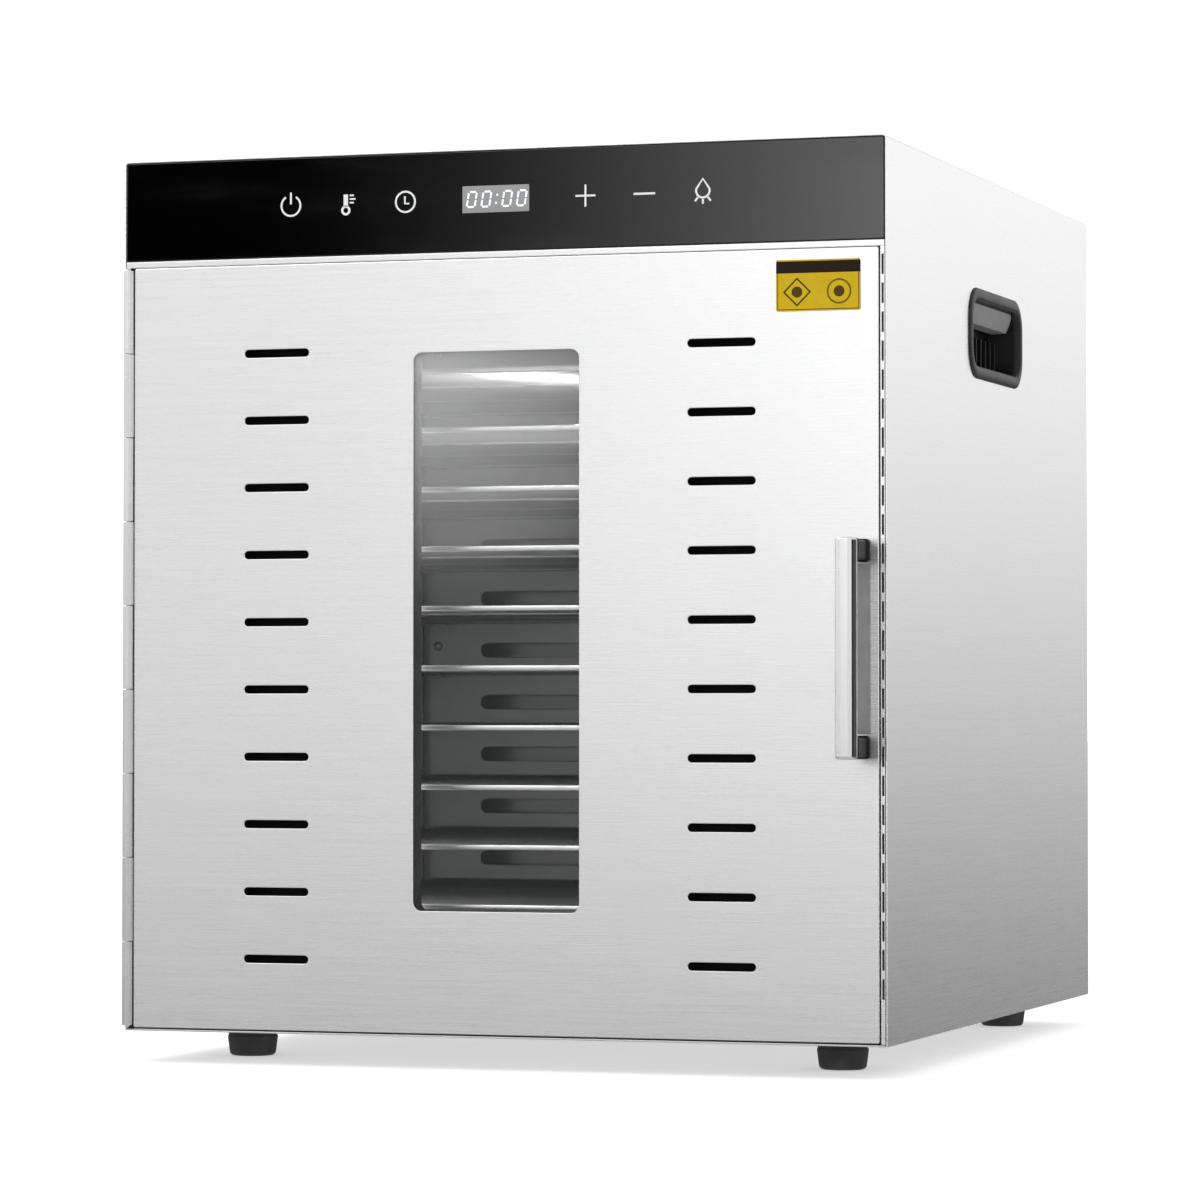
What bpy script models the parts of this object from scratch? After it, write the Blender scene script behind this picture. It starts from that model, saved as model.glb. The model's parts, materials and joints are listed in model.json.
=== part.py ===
"""Ten-tray cabinet food dehydrator: steel cabinet, hinged glazed door, rear fan and sliding trays.

Metres, +Z up. The front faces -Y, +X is on the right as seen from the front, and the origin is
on the floor under the middle of the whole object, handle and rear trim included.
"""
import math

import bmesh
import bpy
from mathutils import Matrix, Vector

# Driving dimensions
CABINET_WIDTH = 0.440
CABINET_DEPTH = 0.498
CABINET_HEIGHT = 0.485
FOOT_HEIGHT = 0.018
HANDLE_REACH = 0.037
REAR_TRIM = 0.002
PANEL_HEIGHT = 0.056
SHEET = 0.0010
THIN_SHEET = 0.0008
GAP = 0.0003
TRAY_COUNT = 10
TRAY_PITCH = 0.0331
TRAY_WIDTH = 0.376
TRAY_DEPTH = 0.380
TRAY_THICKNESS = 0.003
FIRST_TRAY_DROP = 0.1177
SLOT_ROWS = 10
SLOT_PITCH = 0.0372
SLOT_SIZE = (0.038, 0.0045)
SLOT_COLUMN_X = 0.1283
FIRST_SLOT_DROP = 0.1092
WINDOW_SIZE = (0.0955, 0.3055)
WINDOW_DROP = 0.1108
WINDOW_RADIUS = 0.005
GRIP_SIZE = (0.123, 0.044)
GRIP_RADIUS = 0.014
GRIP_DROP = 0.0914
DOOR_THICKNESS = 0.018
HINGE_RADIUS = 0.003
LEAF_START = 0.0037
KNUCKLES = 9

# Planes and edges that follow from them
HALF_WIDTH = CABINET_WIDTH / 2
FRONT_Y = HANDLE_REACH - (CABINET_DEPTH + HANDLE_REACH + REAR_TRIM) / 2
BACK_Y = FRONT_Y + CABINET_DEPTH
MIDDLE_Y = (FRONT_Y + BACK_Y) / 2
BASE_Z = FOOT_HEIGHT
TOP_Z = BASE_Z + CABINET_HEIGHT
PANEL_Z = TOP_Z - PANEL_HEIGHT
INSIDE_X = HALF_WIDTH - SHEET - GAP
RAIL_HEIGHT = 0.0032
RAIL_BOTTOM = PANEL_Z - GAP - RAIL_HEIGHT
DOOR_LEFT = -0.2135
DOOR_RIGHT = 0.2155
DOOR_BOTTOM = BASE_Z + SHEET + 0.0008
DOOR_TOP = RAIL_BOTTOM - 0.0005
DOOR_BACK = FRONT_Y + DOOR_THICKNESS
HINGE_X = -HALF_WIDTH + HINGE_RADIUS
HINGE_Y = FRONT_Y - 0.0005
FRAME_Y = FRONT_Y + 0.021
LINER_X = 0.199
LINER_FLOOR = 0.040
LINER_CEILING = 0.434
LINER_FRONT = FRAME_Y + SHEET + GAP
LINER_REAR = 0.231
BAFFLE_Y = 0.1975
FAN_Y = 0.2150
FAN_Z = 0.240
FAN_RADIUS = 0.080
SHAFT_RADIUS = 0.003
WINDOW_TOP = TOP_Z - WINDOW_DROP
WINDOW_Z = WINDOW_TOP - WINDOW_SIZE[1] / 2
HANDLE_X = 0.2057
HANDLE_Z = 0.229
HANDLE_LENGTH = 0.117
HANDLE_BAR = (0.0104, 0.0124)
POST_SIZE = (0.010, 0.0125)
INLET_X = 0.140
INLET_Z = 0.075
LAMP_Y = -0.090
POST_BORE = 0.0024
BOARD_THICKNESS = 0.0016


def clear_scene():
    """Empty the scene before the model is made."""
    for thing in list(bpy.data.objects):
        bpy.data.objects.remove(thing, do_unlink=True)


# Materials

def material(name, colour, roughness, metallic=0.0, alpha=1.0):
    """One Principled finish."""
    finish = bpy.data.materials.new(name)
    finish.use_nodes = True
    shader = finish.node_tree.nodes["Principled BSDF"]
    shader.inputs["Base Color"].default_value = (*colour, 1.0)
    shader.inputs["Roughness"].default_value = roughness
    shader.inputs["Metallic"].default_value = metallic
    shader.inputs["Alpha"].default_value = alpha
    return finish


def brushed_steel(name):
    """Satin stainless sheet of the cabinet and the door."""
    return material(name, (0.78, 0.78, 0.78), 0.32, 1.0)


def dull_steel(name):
    """Plainer stainless sheet inside the cabinet."""
    return material(name, (0.60, 0.60, 0.61), 0.42, 1.0)


def black_plastic(name):
    """Moulded black plastic."""
    return material(name, (0.015, 0.015, 0.016), 0.45)


def black_rubber(name):
    """Soft black rubber or silicone."""
    return material(name, (0.02, 0.02, 0.02), 0.75)


def circuit_board(name):
    """Green epoxy board."""
    return material(name, (0.02, 0.14, 0.06), 0.5)


# Flat outlines, as lists of (u, v) points

def rectangle(left, right, low, high):
    """The four corners of an upright rectangle."""
    return [(left, low), (right, low), (right, high), (left, high)]


def rounded_rectangle(centre, width, height, radius, steps=4):
    """A rectangle with an arc of the given number of steps at each corner."""
    points = []
    corners = [(1, -1, -90), (1, 1, 0), (-1, 1, 90), (-1, -1, 180)]
    for side, rise, start in corners:
        u = centre[0] + side * (width / 2 - radius)
        v = centre[1] + rise * (height / 2 - radius)
        for step in range(steps + 1):
            angle = math.radians(start + 90 * step / steps)
            points.append((u + radius * math.cos(angle), v + radius * math.sin(angle)))
    return points


def slot(centre, length, height, steps=4):
    """A level slot with round ends."""
    points = []
    radius = height / 2
    for side, start in ((1, -90), (-1, 90)):
        u = centre[0] + side * (length / 2 - radius)
        for step in range(steps + 1):
            angle = math.radians(start + 180 * step / steps)
            points.append((u + radius * math.cos(angle), centre[1] + radius * math.sin(angle)))
    return points


def circle(centre, radius, count=16):
    """A round outline with the given number of corners."""
    turn = 2 * math.pi / count
    return [(centre[0] + radius * math.cos(turn * i), centre[1] + radius * math.sin(turn * i))
            for i in range(count)]


def raised(point, axis, height):
    """A flat outline's point, at a height along the X, Y or Z axis."""
    u, v = point
    if axis == "X":
        return Vector((height, u, v))
    if axis == "Y":
        return Vector((u, height, v))
    return Vector((u, v, height))


# Solids

def new_object(name, shape):
    """An object from a bmesh, with its faces pointing out."""
    bmesh.ops.recalc_face_normals(shape, faces=shape.faces)
    mesh = bpy.data.meshes.new(name)
    shape.to_mesh(mesh)
    shape.free()
    piece = bpy.data.objects.new(name, mesh)
    bpy.context.collection.objects.link(piece)
    return piece


def add_prism(shape, axis, span, outer, holes=()):
    """Add a flat outline, with holes, pushed along an axis over a span."""
    edges = []
    for loop in (outer, *holes):
        corners = [shape.verts.new(raised(point, axis, span[0])) for point in loop]
        edges += [shape.edges.new(pair) for pair in zip(corners, corners[1:] + corners[:1])]
    filled = bmesh.ops.triangle_fill(shape, use_beauty=True, edges=edges)
    faces = [part for part in filled["geom"] if isinstance(part, bmesh.types.BMFace)]
    pushed = bmesh.ops.extrude_face_region(shape, geom=faces)
    moved = [part for part in pushed["geom"] if isinstance(part, bmesh.types.BMVert)]
    bmesh.ops.translate(shape, verts=moved, vec=raised((0, 0), axis, span[1] - span[0]))


def prism(name, axis, span, outer, holes=()):
    """One solid pushed along an axis."""
    shape = bmesh.new()
    add_prism(shape, axis, span, outer, holes)
    return new_object(name, shape)


def prisms(name, axis, span, outlines):
    """Several solids of the same span in one object, for cutting or joining."""
    shape = bmesh.new()
    for outline in outlines:
        add_prism(shape, axis, span, outline)
    return new_object(name, shape)


def block(name, x_span, y_span, z_span):
    """A rectangular solid."""
    return prism(name, "Z", z_span, rectangle(*x_span, *y_span))


def loft(name, axis, sections):
    """A closed skin over (height, outline) sections that have the same number of points."""
    shape = bmesh.new()
    rings = [[shape.verts.new(raised(point, axis, height)) for point in outline]
             for height, outline in sections]
    count = len(rings[0])
    for near, far in zip(rings, rings[1:]):
        for i in range(count):
            j = (i + 1) % count
            shape.faces.new((near[i], near[j], far[j], far[i]))
    shape.faces.new(rings[0])
    shape.faces.new(rings[-1])
    return new_object(name, shape)


def turned(name, axis, centre, profile, count=16):
    """A round solid from (height, radius) pairs along an axis."""
    sections = [(height, circle(centre, radius, count)) for height, radius in profile]
    return loft(name, axis, sections)


def combine(piece, tool, operation):
    """Cut a tool out of a piece, or join it on. The tool itself is not a part."""
    tool.hide_render = True
    tool.display_type = "WIRE"
    change = piece.modifiers.new(tool.name, "BOOLEAN")
    change.operation = operation
    change.solver = "EXACT"
    change.object = tool


def dress(piece, finish, pivot=None, smooth=False):
    """Give a piece its material, and its origin at its own middle or on its pivot's axis."""
    piece.data.materials.append(finish)
    corners = [Vector(corner) for corner in piece.bound_box]
    middle = sum(corners, Vector()) / len(corners)
    base = Vector(pivot.location) if pivot else Vector()
    piece.data.transform(Matrix.Translation(-middle))
    piece.parent = pivot
    piece.location = middle - base
    if smooth:
        piece.data.shade_smooth()
        piece.data.set_sharp_from_angle(angle=math.radians(35))
    return piece


def pivot_empty(name, location):
    """An empty on a joint's axis, which the moving pieces hang from."""
    empty = bpy.data.objects.new(name, None)
    empty.location = location
    bpy.context.collection.objects.link(empty)
    return empty


# Places that several pieces share

def slot_centres():
    """Centres of the door's air slots, in two columns."""
    return [(column * SLOT_COLUMN_X, TOP_Z - FIRST_SLOT_DROP - row * SLOT_PITCH)
            for column in (-1, 1) for row in range(SLOT_ROWS)]


def tray_height(number):
    """Middle height of a tray, counted from 1 at the top."""
    return TOP_Z - FIRST_TRAY_DROP - (number - 1) * TRAY_PITCH


def rear_vents():
    """Outlines of the intake slots behind the fan motor, in two columns of nine."""
    column = 0.034
    pitch = 0.014
    half_length = 0.030
    half_height = 0.0025
    return [rectangle(side * column - half_length, side * column + half_length,
                      FAN_Z + row * pitch - half_height, FAN_Z + row * pitch + half_height)
            for side in (-1, 1) for row in range(-4, 5)]


# Cabinet

def make_outer_shell():
    """Folded wrapper: top and both sides, cut back for the hinge and open for the grips."""
    outer_bend = 0.0025
    inner_bend = outer_bend - SHEET
    steps = 3
    outline = [(-HALF_WIDTH, BASE_Z)]
    for side, start in ((-1, 180), (1, 90)):
        for step in range(steps + 1):
            angle = math.radians(start - 90 * step / steps)
            outline.append((side * (HALF_WIDTH - outer_bend) + outer_bend * math.cos(angle),
                            TOP_Z - outer_bend + outer_bend * math.sin(angle)))
    outline.append((HALF_WIDTH, BASE_Z))
    outline.append((HALF_WIDTH - SHEET, BASE_Z))
    for side, start in ((1, 0), (-1, 90)):
        for step in range(steps + 1):
            angle = math.radians(start + 90 * step / steps)
            outline.append((side * (HALF_WIDTH - outer_bend) + inner_bend * math.cos(angle),
                            TOP_Z - outer_bend + inner_bend * math.sin(angle)))
    outline.append((-HALF_WIDTH + SHEET, BASE_Z))
    shell = prism("outer_shell", "Y", (FRONT_Y, BACK_Y), outline)
    clear = 0.01
    grips = prism("grip_cutter", "X", (-HALF_WIDTH - clear, HALF_WIDTH + clear),
                  rounded_rectangle((MIDDLE_Y, TOP_Z - GRIP_DROP), *GRIP_SIZE, GRIP_RADIUS))
    notch = block("hinge_cutter", (-HALF_WIDTH - clear, -HALF_WIDTH + 0.005),
                  (FRONT_Y - clear, HINGE_Y + LEAF_START), (BASE_Z - clear, RAIL_BOTTOM - 0.0002))
    combine(shell, grips, "DIFFERENCE")
    combine(shell, notch, "DIFFERENCE")
    dress(shell, brushed_steel("outer_shell"))


def make_base_and_back():
    """Floor sheet, rear sheet with intake slots, and the slotted cover over them."""
    rear = BACK_Y - SHEET
    base = block("base_pan", (-INSIDE_X, INSIDE_X), (FRONT_Y, rear - GAP), (BASE_Z, BASE_Z + SHEET))
    dress(base, dull_steel("base_pan"))
    inlet_half_width = 0.0140
    inlet_half_height = 0.0102
    inlet_hole = rectangle(INLET_X - inlet_half_width, INLET_X + inlet_half_width,
                           INLET_Z - inlet_half_height, INLET_Z + inlet_half_height)
    top = TOP_Z - SHEET - GAP
    back = prism("back_panel", "Y", (rear, BACK_Y),
                 rounded_rectangle((0, (BASE_Z + top) / 2), 2 * INSIDE_X, top - BASE_Z, 0.0012, 2),
                 rear_vents() + [inlet_hole])
    dress(back, brushed_steel("back_panel"))
    cover_size = 0.160
    cover = prism("rear_vent_cover", "Y", (BACK_Y + GAP, BACK_Y + REAR_TRIM),
                  rounded_rectangle((0, FAN_Z), cover_size, cover_size, 0.010), rear_vents())
    dress(cover, dull_steel("rear_vent_cover"))


def make_front_frame():
    """Sealing frame behind the door, rail under the glass, and slit trim beside the door."""
    frame = prism("front_frame", "Y", (FRAME_Y, FRAME_Y + SHEET),
                  rectangle(-INSIDE_X, INSIDE_X, BASE_Z + SHEET + GAP, RAIL_BOTTOM - GAP),
                  [rectangle(-LINER_X, LINER_X, LINER_FLOOR, LINER_CEILING)])
    dress(frame, brushed_steel("front_frame"))
    rail_depth = 0.010
    rail = block("panel_rail", (-INSIDE_X, INSIDE_X), (FRONT_Y, FRONT_Y + rail_depth),
                 (RAIL_BOTTOM, RAIL_BOTTOM + RAIL_HEIGHT))
    dress(rail, brushed_steel("panel_rail"))
    slit_count = 26
    slit_pitch = 0.0154
    slit_length = 0.0109
    slit_half = 0.00065
    slit_top = TOP_Z - 0.064
    trim_left = HALF_WIDTH - 0.004
    slit_x = (trim_left + INSIDE_X) / 2
    slits = []
    for number in range(slit_count):
        top = slit_top - number * slit_pitch
        slits.append(rectangle(slit_x - slit_half, slit_x + slit_half, top - slit_length, top))
    trim = prism("edge_trim", "Y", (FRONT_Y, FRONT_Y + SHEET),
                 rectangle(trim_left, INSIDE_X, BASE_Z + SHEET + GAP, RAIL_BOTTOM - GAP), slits)
    dress(trim, brushed_steel("edge_trim"))


def make_liner():
    """Walls, floor, ceiling and back of the drying chamber, and the slotted fan baffle."""
    low = LINER_FLOOR + GAP
    high = LINER_CEILING - GAP
    wall_span = (LINER_FRONT, LINER_REAR - GAP)
    reach = LINER_X + THIN_SHEET
    for side, name in ((-1, "liner_left_wall"), (1, "liner_right_wall")):
        faces = sorted((side * LINER_X, side * reach))
        dress(block(name, faces, wall_span, (low, high)), dull_steel(name))
    floor = block("liner_floor", (-reach, reach), wall_span, (LINER_FLOOR - THIN_SHEET, LINER_FLOOR))
    dress(floor, dull_steel("liner_floor"))
    ceiling = block("liner_ceiling", (-reach, reach), wall_span,
                    (LINER_CEILING, LINER_CEILING + THIN_SHEET))
    dress(ceiling, dull_steel("liner_ceiling"))
    back = prism("liner_back", "Y", (LINER_REAR, LINER_REAR + THIN_SHEET),
                 rectangle(-reach, reach, LINER_FLOOR - THIN_SHEET, LINER_CEILING + THIN_SHEET),
                 [circle((0, FAN_Z), 0.012, 12)])
    dress(back, dull_steel("liner_back"))
    column = 0.088
    half_length = 0.072
    slots = [rectangle(side * column - half_length, side * column + half_length,
                       tray_height(row) + 0.010, tray_height(row) + 0.019)
             for side in (-1, 1) for row in range(1, TRAY_COUNT + 1)]
    baffle = prism("fan_baffle", "Y", (BAFFLE_Y, BAFFLE_Y + THIN_SHEET),
                   rectangle(-LINER_X + GAP, LINER_X - GAP, low, high), slots)
    dress(baffle, dull_steel("fan_baffle"))


def make_tray_rack(name, side):
    """Upright sheet with one runner ledge under each tray."""
    plate = 0.0012
    foot = 0.060
    head = 0.410
    wall = side * (LINER_X - GAP)
    spine = wall - side * plate
    tip = side * (TRAY_WIDTH / 2 - 0.007)
    outline = [(wall, foot), (spine, foot)]
    for number in range(TRAY_COUNT, 0, -1):
        top = tray_height(number) - TRAY_THICKNESS / 2 - GAP
        outline += [(spine, top - plate), (tip, top - plate), (tip, top), (spine, top)]
    outline += [(spine, head), (wall, head)]
    rack = prism(name, "Y", (-TRAY_DEPTH / 2, TRAY_DEPTH / 2), outline)
    dress(rack, dull_steel(name))


def make_feet():
    """Four tapered rubber feet."""
    side = 0.174
    front = FRONT_Y + 0.079
    rear = BACK_Y - 0.040
    places = {
        "foot_front_left": (-side, front),
        "foot_front_right": (side, front),
        "foot_rear_left": (-side, rear),
        "foot_rear_right": (side, rear),
    }
    profile = [(0, 0.0120), (0.0012, 0.0130), (FOOT_HEIGHT - GAP, 0.0150)]
    for name, centre in places.items():
        foot = turned(name, "Z", centre, profile, 20)
        dress(foot, black_rubber(name), smooth=True)


def make_side_grip(name, side):
    """Recessed carrying grip: a lipped cup set into the side of the cabinet."""
    centre = (MIDDLE_Y, TOP_Z - GRIP_DROP)
    length, height = GRIP_SIZE
    face = HALF_WIDTH + GAP
    sizes = [
        (HALF_WIDTH - 0.0175, -0.0070, 0.0105),
        (HALF_WIDTH + 0.0009, -0.0036, 0.0122),
        (HALF_WIDTH + 0.0015, -0.0020, 0.0130),
        (HALF_WIDTH + 0.0015, 0.0030, 0.0155),
        (face, 0.0040, 0.0160),
        (face, -0.0008, 0.0136),
        (HALF_WIDTH - 0.0190, -0.0040, 0.0120),
    ]
    sections = [(side * x, rounded_rectangle(centre, length + grow, height + grow, radius))
                for x, grow, radius in sizes]
    dress(loft(name, "X", sections), black_plastic(name), smooth=True)


# Controls and electrics

def make_control_panel():
    """Black glass front, the plastic housing behind it, and the touch board with its display."""
    glass_back = FRONT_Y + 0.004
    top = TOP_Z - SHEET - GAP
    middle = (0, (PANEL_Z + top) / 2)
    width = 2 * INSIDE_X
    height = top - PANEL_Z
    chamfer = 0.0004
    front = rounded_rectangle(middle, width - 2 * chamfer, height - 2 * chamfer, 0.0010, 2)
    edge = rounded_rectangle(middle, width, height, 0.0012, 2)
    glass = loft("control_glass", "Y", [(FRONT_Y, front), (FRONT_Y + chamfer, edge), (glass_back, edge)])
    dress(glass, material("control_glass", (0.006, 0.006, 0.007), 0.06))
    wall = 0.002
    half = 0.150
    rear = FRONT_Y + 0.0415
    low = PANEL_Z + 0.003
    high = TOP_Z - 0.0045
    housing = block("control_housing", (-half, half), (glass_back + GAP, rear), (low, high))
    pocket = block("housing_cutter", (wall - half, half - wall), (glass_back - 0.01, rear - wall),
                   (low + wall, high - wall))
    combine(housing, pocket, "DIFFERENCE")
    dress(housing, black_plastic("control_housing"))
    board_front = glass_back + 0.0103
    board = block("touch_board", (-0.130, 0.130), (board_front, board_front + BOARD_THICKNESS),
                  (PANEL_Z + 0.008, TOP_Z - 0.008))
    display_low = PANEL_Z + 0.0185
    display = block("display_module", (-0.025, 0.025), (glass_back + GAP, board_front + BOARD_THICKNESS / 2),
                    (display_low, display_low + 0.020))
    combine(board, display, "UNION")
    dress(board, circuit_board("touch_board"))


def make_power_board():
    """Supply and relay board on top of the chamber, with its larger parts."""
    low = LINER_CEILING + 0.016
    part_top = low + 0.020
    board = block("power_board", (0.020, 0.160), (0.020, 0.130), (low, low + BOARD_THICKNESS))
    parts = [
        rectangle(0.030, 0.065, 0.030, 0.060),
        rectangle(0.080, 0.099, 0.035, 0.050),
        rectangle(0.110, 0.129, 0.035, 0.050),
        circle((0.050, 0.095), 0.009, 12),
        circle((0.085, 0.095), 0.006, 12),
    ]
    raised_parts = prisms("board_parts", "Z", (low + BOARD_THICKNESS / 2, part_top), parts)
    combine(board, raised_parts, "UNION")
    dress(board, circuit_board("power_board"))


def make_power_inlet():
    """Three-pin mains inlet let into the back panel."""
    centre = (INLET_X, INLET_Z)
    outer = BACK_Y + REAR_TRIM
    sizes = [
        (outer - 0.0180, 0.0236, 0.0156, 0.0020),
        (outer, 0.0240, 0.0160, 0.0022),
        (outer, 0.0490, 0.0240, 0.0050),
        (BACK_Y + GAP, 0.0494, 0.0244, 0.0052),
        (BACK_Y + GAP, 0.0274, 0.0198, 0.0030),
        (BACK_Y - 0.0240, 0.0274, 0.0198, 0.0030),
    ]
    sections = [(y, rounded_rectangle(centre, width, height, radius, 2))
                for y, width, height, radius in sizes]
    inlet = loft("power_inlet", "Y", sections)
    pin_centres = [(-0.007, -0.002), (0.007, -0.002), (0.0, 0.003)]
    half_width = 0.001
    half_height = 0.002
    pins = [rectangle(INLET_X + x - half_width, INLET_X + x + half_width,
                      INLET_Z + z - half_height, INLET_Z + z + half_height)
            for x, z in pin_centres]
    pin_group = prisms("inlet_pins", "Y", (outer - 0.0190, outer - 0.0085), pins)
    combine(inlet, pin_group, "UNION")
    dress(inlet, black_plastic("power_inlet"))


def make_lamp_and_probe():
    """Chamber lamp under the ceiling, and the air temperature probe behind it."""
    ceiling = LINER_CEILING - GAP
    holder_height = 0.0102
    holder = turned("lamp_holder", "Z", (0, LAMP_Y),
                    [(ceiling, 0.020), (ceiling - 0.007, 0.020), (ceiling - holder_height, 0.017)])
    dress(holder, material("lamp_holder", (0.75, 0.75, 0.74), 0.45), smooth=True)
    lens_top = ceiling - holder_height - GAP
    lens = turned("lamp_lens", "Z", (0, LAMP_Y),
                  [(lens_top, 0.0155), (lens_top - 0.007, 0.0150), (lens_top - 0.012, 0.0115),
                   (lens_top - 0.015, 0.0050)])
    dress(lens, material("lamp_lens", (0.95, 0.93, 0.86), 0.2), smooth=True)
    probe_radius = 0.0025
    collar = ceiling - 0.002
    probe_tip = ceiling - 0.040
    probe = turned("temperature_probe", "Z", (0.120, 0.170),
                   [(ceiling, 0.008), (collar, 0.008), (collar, probe_radius),
                    (probe_tip + 0.002, probe_radius), (probe_tip, 0.0015)], 12)
    dress(probe, dull_steel("temperature_probe"), smooth=True)


def make_heater():
    """Tubular heater: most of a ring around the fan, with both ends bent to the back."""
    ring_radius = FAN_RADIUS + 0.016
    tube_radius = 0.0035
    arc_steps = 26
    opening = math.radians(24)
    points = []
    for step in range(arc_steps + 1):
        angle = opening + (2 * math.pi - 2 * opening) * step / arc_steps
        points.append((ring_radius * math.sin(angle), FAN_Y, FAN_Z - ring_radius * math.cos(angle)))
    end_y = LINER_REAR - 0.002
    first = points[0]
    last = points[-1]
    points = [(first[0], end_y, first[2])] + points + [(last[0], end_y, last[2])]
    path = bpy.data.curves.new("heater_element", "CURVE")
    path.dimensions = "3D"
    path.bevel_depth = tube_radius
    path.bevel_resolution = 1
    path.use_fill_caps = True
    line = path.splines.new("POLY")
    line.points.add(len(points) - 1)
    for target, point in zip(line.points, points):
        target.co = (*point, 1.0)
    heater = bpy.data.objects.new("heater_element", path)
    bpy.context.collection.objects.link(heater)
    path.materials.append(material("heater_element", (0.20, 0.19, 0.18), 0.5, 1.0))


def make_motor():
    """Fan motor behind the chamber, and the plate that carries it."""
    bracket_size = 0.110
    plate_front = LINER_REAR + THIN_SHEET + GAP
    plate_back = plate_front + 0.0017
    bracket = prism("motor_bracket", "Y", (plate_front, plate_back),
                    rounded_rectangle((0, FAN_Z), bracket_size, bracket_size, 0.012),
                    [circle((0, FAN_Z), 0.010, 12)])
    dress(bracket, dull_steel("motor_bracket"))
    radius = 0.036
    chamfer = 0.002
    bore = SHAFT_RADIUS + 0.0004
    front = plate_back + GAP
    back = front + 0.026
    motor = turned("fan_motor", "Y", (0, FAN_Z),
                   [(front + 0.0177, bore), (front, bore), (front, radius - chamfer),
                    (front + chamfer, radius), (back - chamfer, radius), (back, radius - chamfer)], 20)
    dress(motor, material("fan_motor", (0.12, 0.12, 0.13), 0.5, 0.6), smooth=True)


# Fan

def make_fan(pivot):
    """Hub with six flat pitched blades, and the shaft that drives it."""
    half_hub = 0.009
    hub = prism("fan_blades", "Y", (FAN_Y - half_hub, FAN_Y + half_hub), circle((0, FAN_Z), 0.016, 20),
                [circle((0, FAN_Z), SHAFT_RADIUS + 0.0004, 12)])
    blade_count = 6
    half_sheet = 0.0006
    pitch = math.radians(20)
    root_radius = 0.013
    root_chord = 0.010
    tip_chord = 0.044
    shape = bmesh.new()
    for number in range(blade_count):
        turn = 2 * math.pi * number / blade_count
        ends = []
        for radius, chord in ((root_radius, root_chord), (FAN_RADIUS, tip_chord)):
            end = []
            for across, through in ((-1, -1), (1, -1), (1, 1), (-1, 1)):
                half = across * chord / 2
                lift = through * half_sheet
                along = half * math.cos(pitch) + lift * math.sin(pitch)
                depth = lift * math.cos(pitch) - half * math.sin(pitch)
                x = radius * math.cos(turn) - along * math.sin(turn)
                z = radius * math.sin(turn) + along * math.cos(turn)
                end.append(shape.verts.new((x, FAN_Y + depth, FAN_Z + z)))
            ends.append(end)
        root, tip = ends
        for i in range(4):
            j = (i + 1) % 4
            shape.faces.new((root[i], root[j], tip[j], tip[i]))
        shape.faces.new(root)
        shape.faces.new(tip)
    blades = new_object("blade_group", shape)
    combine(hub, blades, "UNION")
    dress(hub, material("fan_blades", (0.62, 0.62, 0.62), 0.4, 1.0), pivot)
    front = FAN_Y - 0.011
    chamfer = 0.0006
    shaft = turned("fan_shaft", "Y", (0, FAN_Z),
                   [(front, 0.0025), (front + chamfer, SHAFT_RADIUS), (front + 0.046, SHAFT_RADIUS)], 12)
    dress(shaft, dull_steel("fan_shaft"), pivot, smooth=True)


# Hinge

def knuckle_outline(tail_left, tail_right):
    """Outside of a hinge knuckle that runs on into a flat tail, seen from above."""
    steps = 12
    right_angle = math.acos(min(1.0, tail_right / HINGE_RADIUS))
    left_angle = math.acos(tail_left / HINGE_RADIUS)
    sweep = 2 * math.pi - (left_angle - right_angle)
    points = []
    for step in range(steps + 1):
        angle = right_angle - sweep * step / steps
        points.append((HINGE_X + HINGE_RADIUS * math.cos(angle), HINGE_Y + HINGE_RADIUS * math.sin(angle)))
    tail_end = HINGE_Y + 2 * HINGE_RADIUS
    points += [(HINGE_X + tail_left, tail_end), (HINGE_X + tail_right, tail_end)]
    return points


def make_hinge_leaf(name, tail_left, tail_right, knuckles, pivot=None):
    """A flat leaf and its share of the knuckles along the pin."""
    margin = 0.001
    low = DOOR_BOTTOM + margin
    high = DOOR_TOP - margin
    clearance = 0.0002
    pin_bore = 0.0016
    length = (high - low) / KNUCKLES
    leaf = block(name, (HINGE_X + tail_left, HINGE_X + tail_right), (HINGE_Y + LEAF_START, HINGE_Y + 0.016),
                 (low, high))
    shape = bmesh.new()
    for number in knuckles:
        start = low + number * length
        add_prism(shape, "Z", (start + clearance, start + length - clearance),
                  knuckle_outline(tail_left, tail_right), [circle((HINGE_X, HINGE_Y), pin_bore, 12)])
    combine(leaf, new_object(name + "_knuckles", shape), "UNION")
    dress(leaf, dull_steel(name), pivot)


def make_hinge(pivot):
    """Full-height hinge: cabinet leaf, door leaf and pin."""
    make_hinge_leaf("hinge_cabinet_leaf", -0.0014, -0.0006, range(0, KNUCKLES, 2))
    make_hinge_leaf("hinge_door_leaf", 0.0022, 0.0030, range(1, KNUCKLES, 2), pivot)
    pin_radius = 0.0013
    pin = turned("hinge_pin", "Z", (HINGE_X, HINGE_Y),
                 [(DOOR_BOTTOM, pin_radius), (DOOR_TOP, pin_radius)], 10)
    dress(pin, dull_steel("hinge_pin"), smooth=True)


# Door

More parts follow.
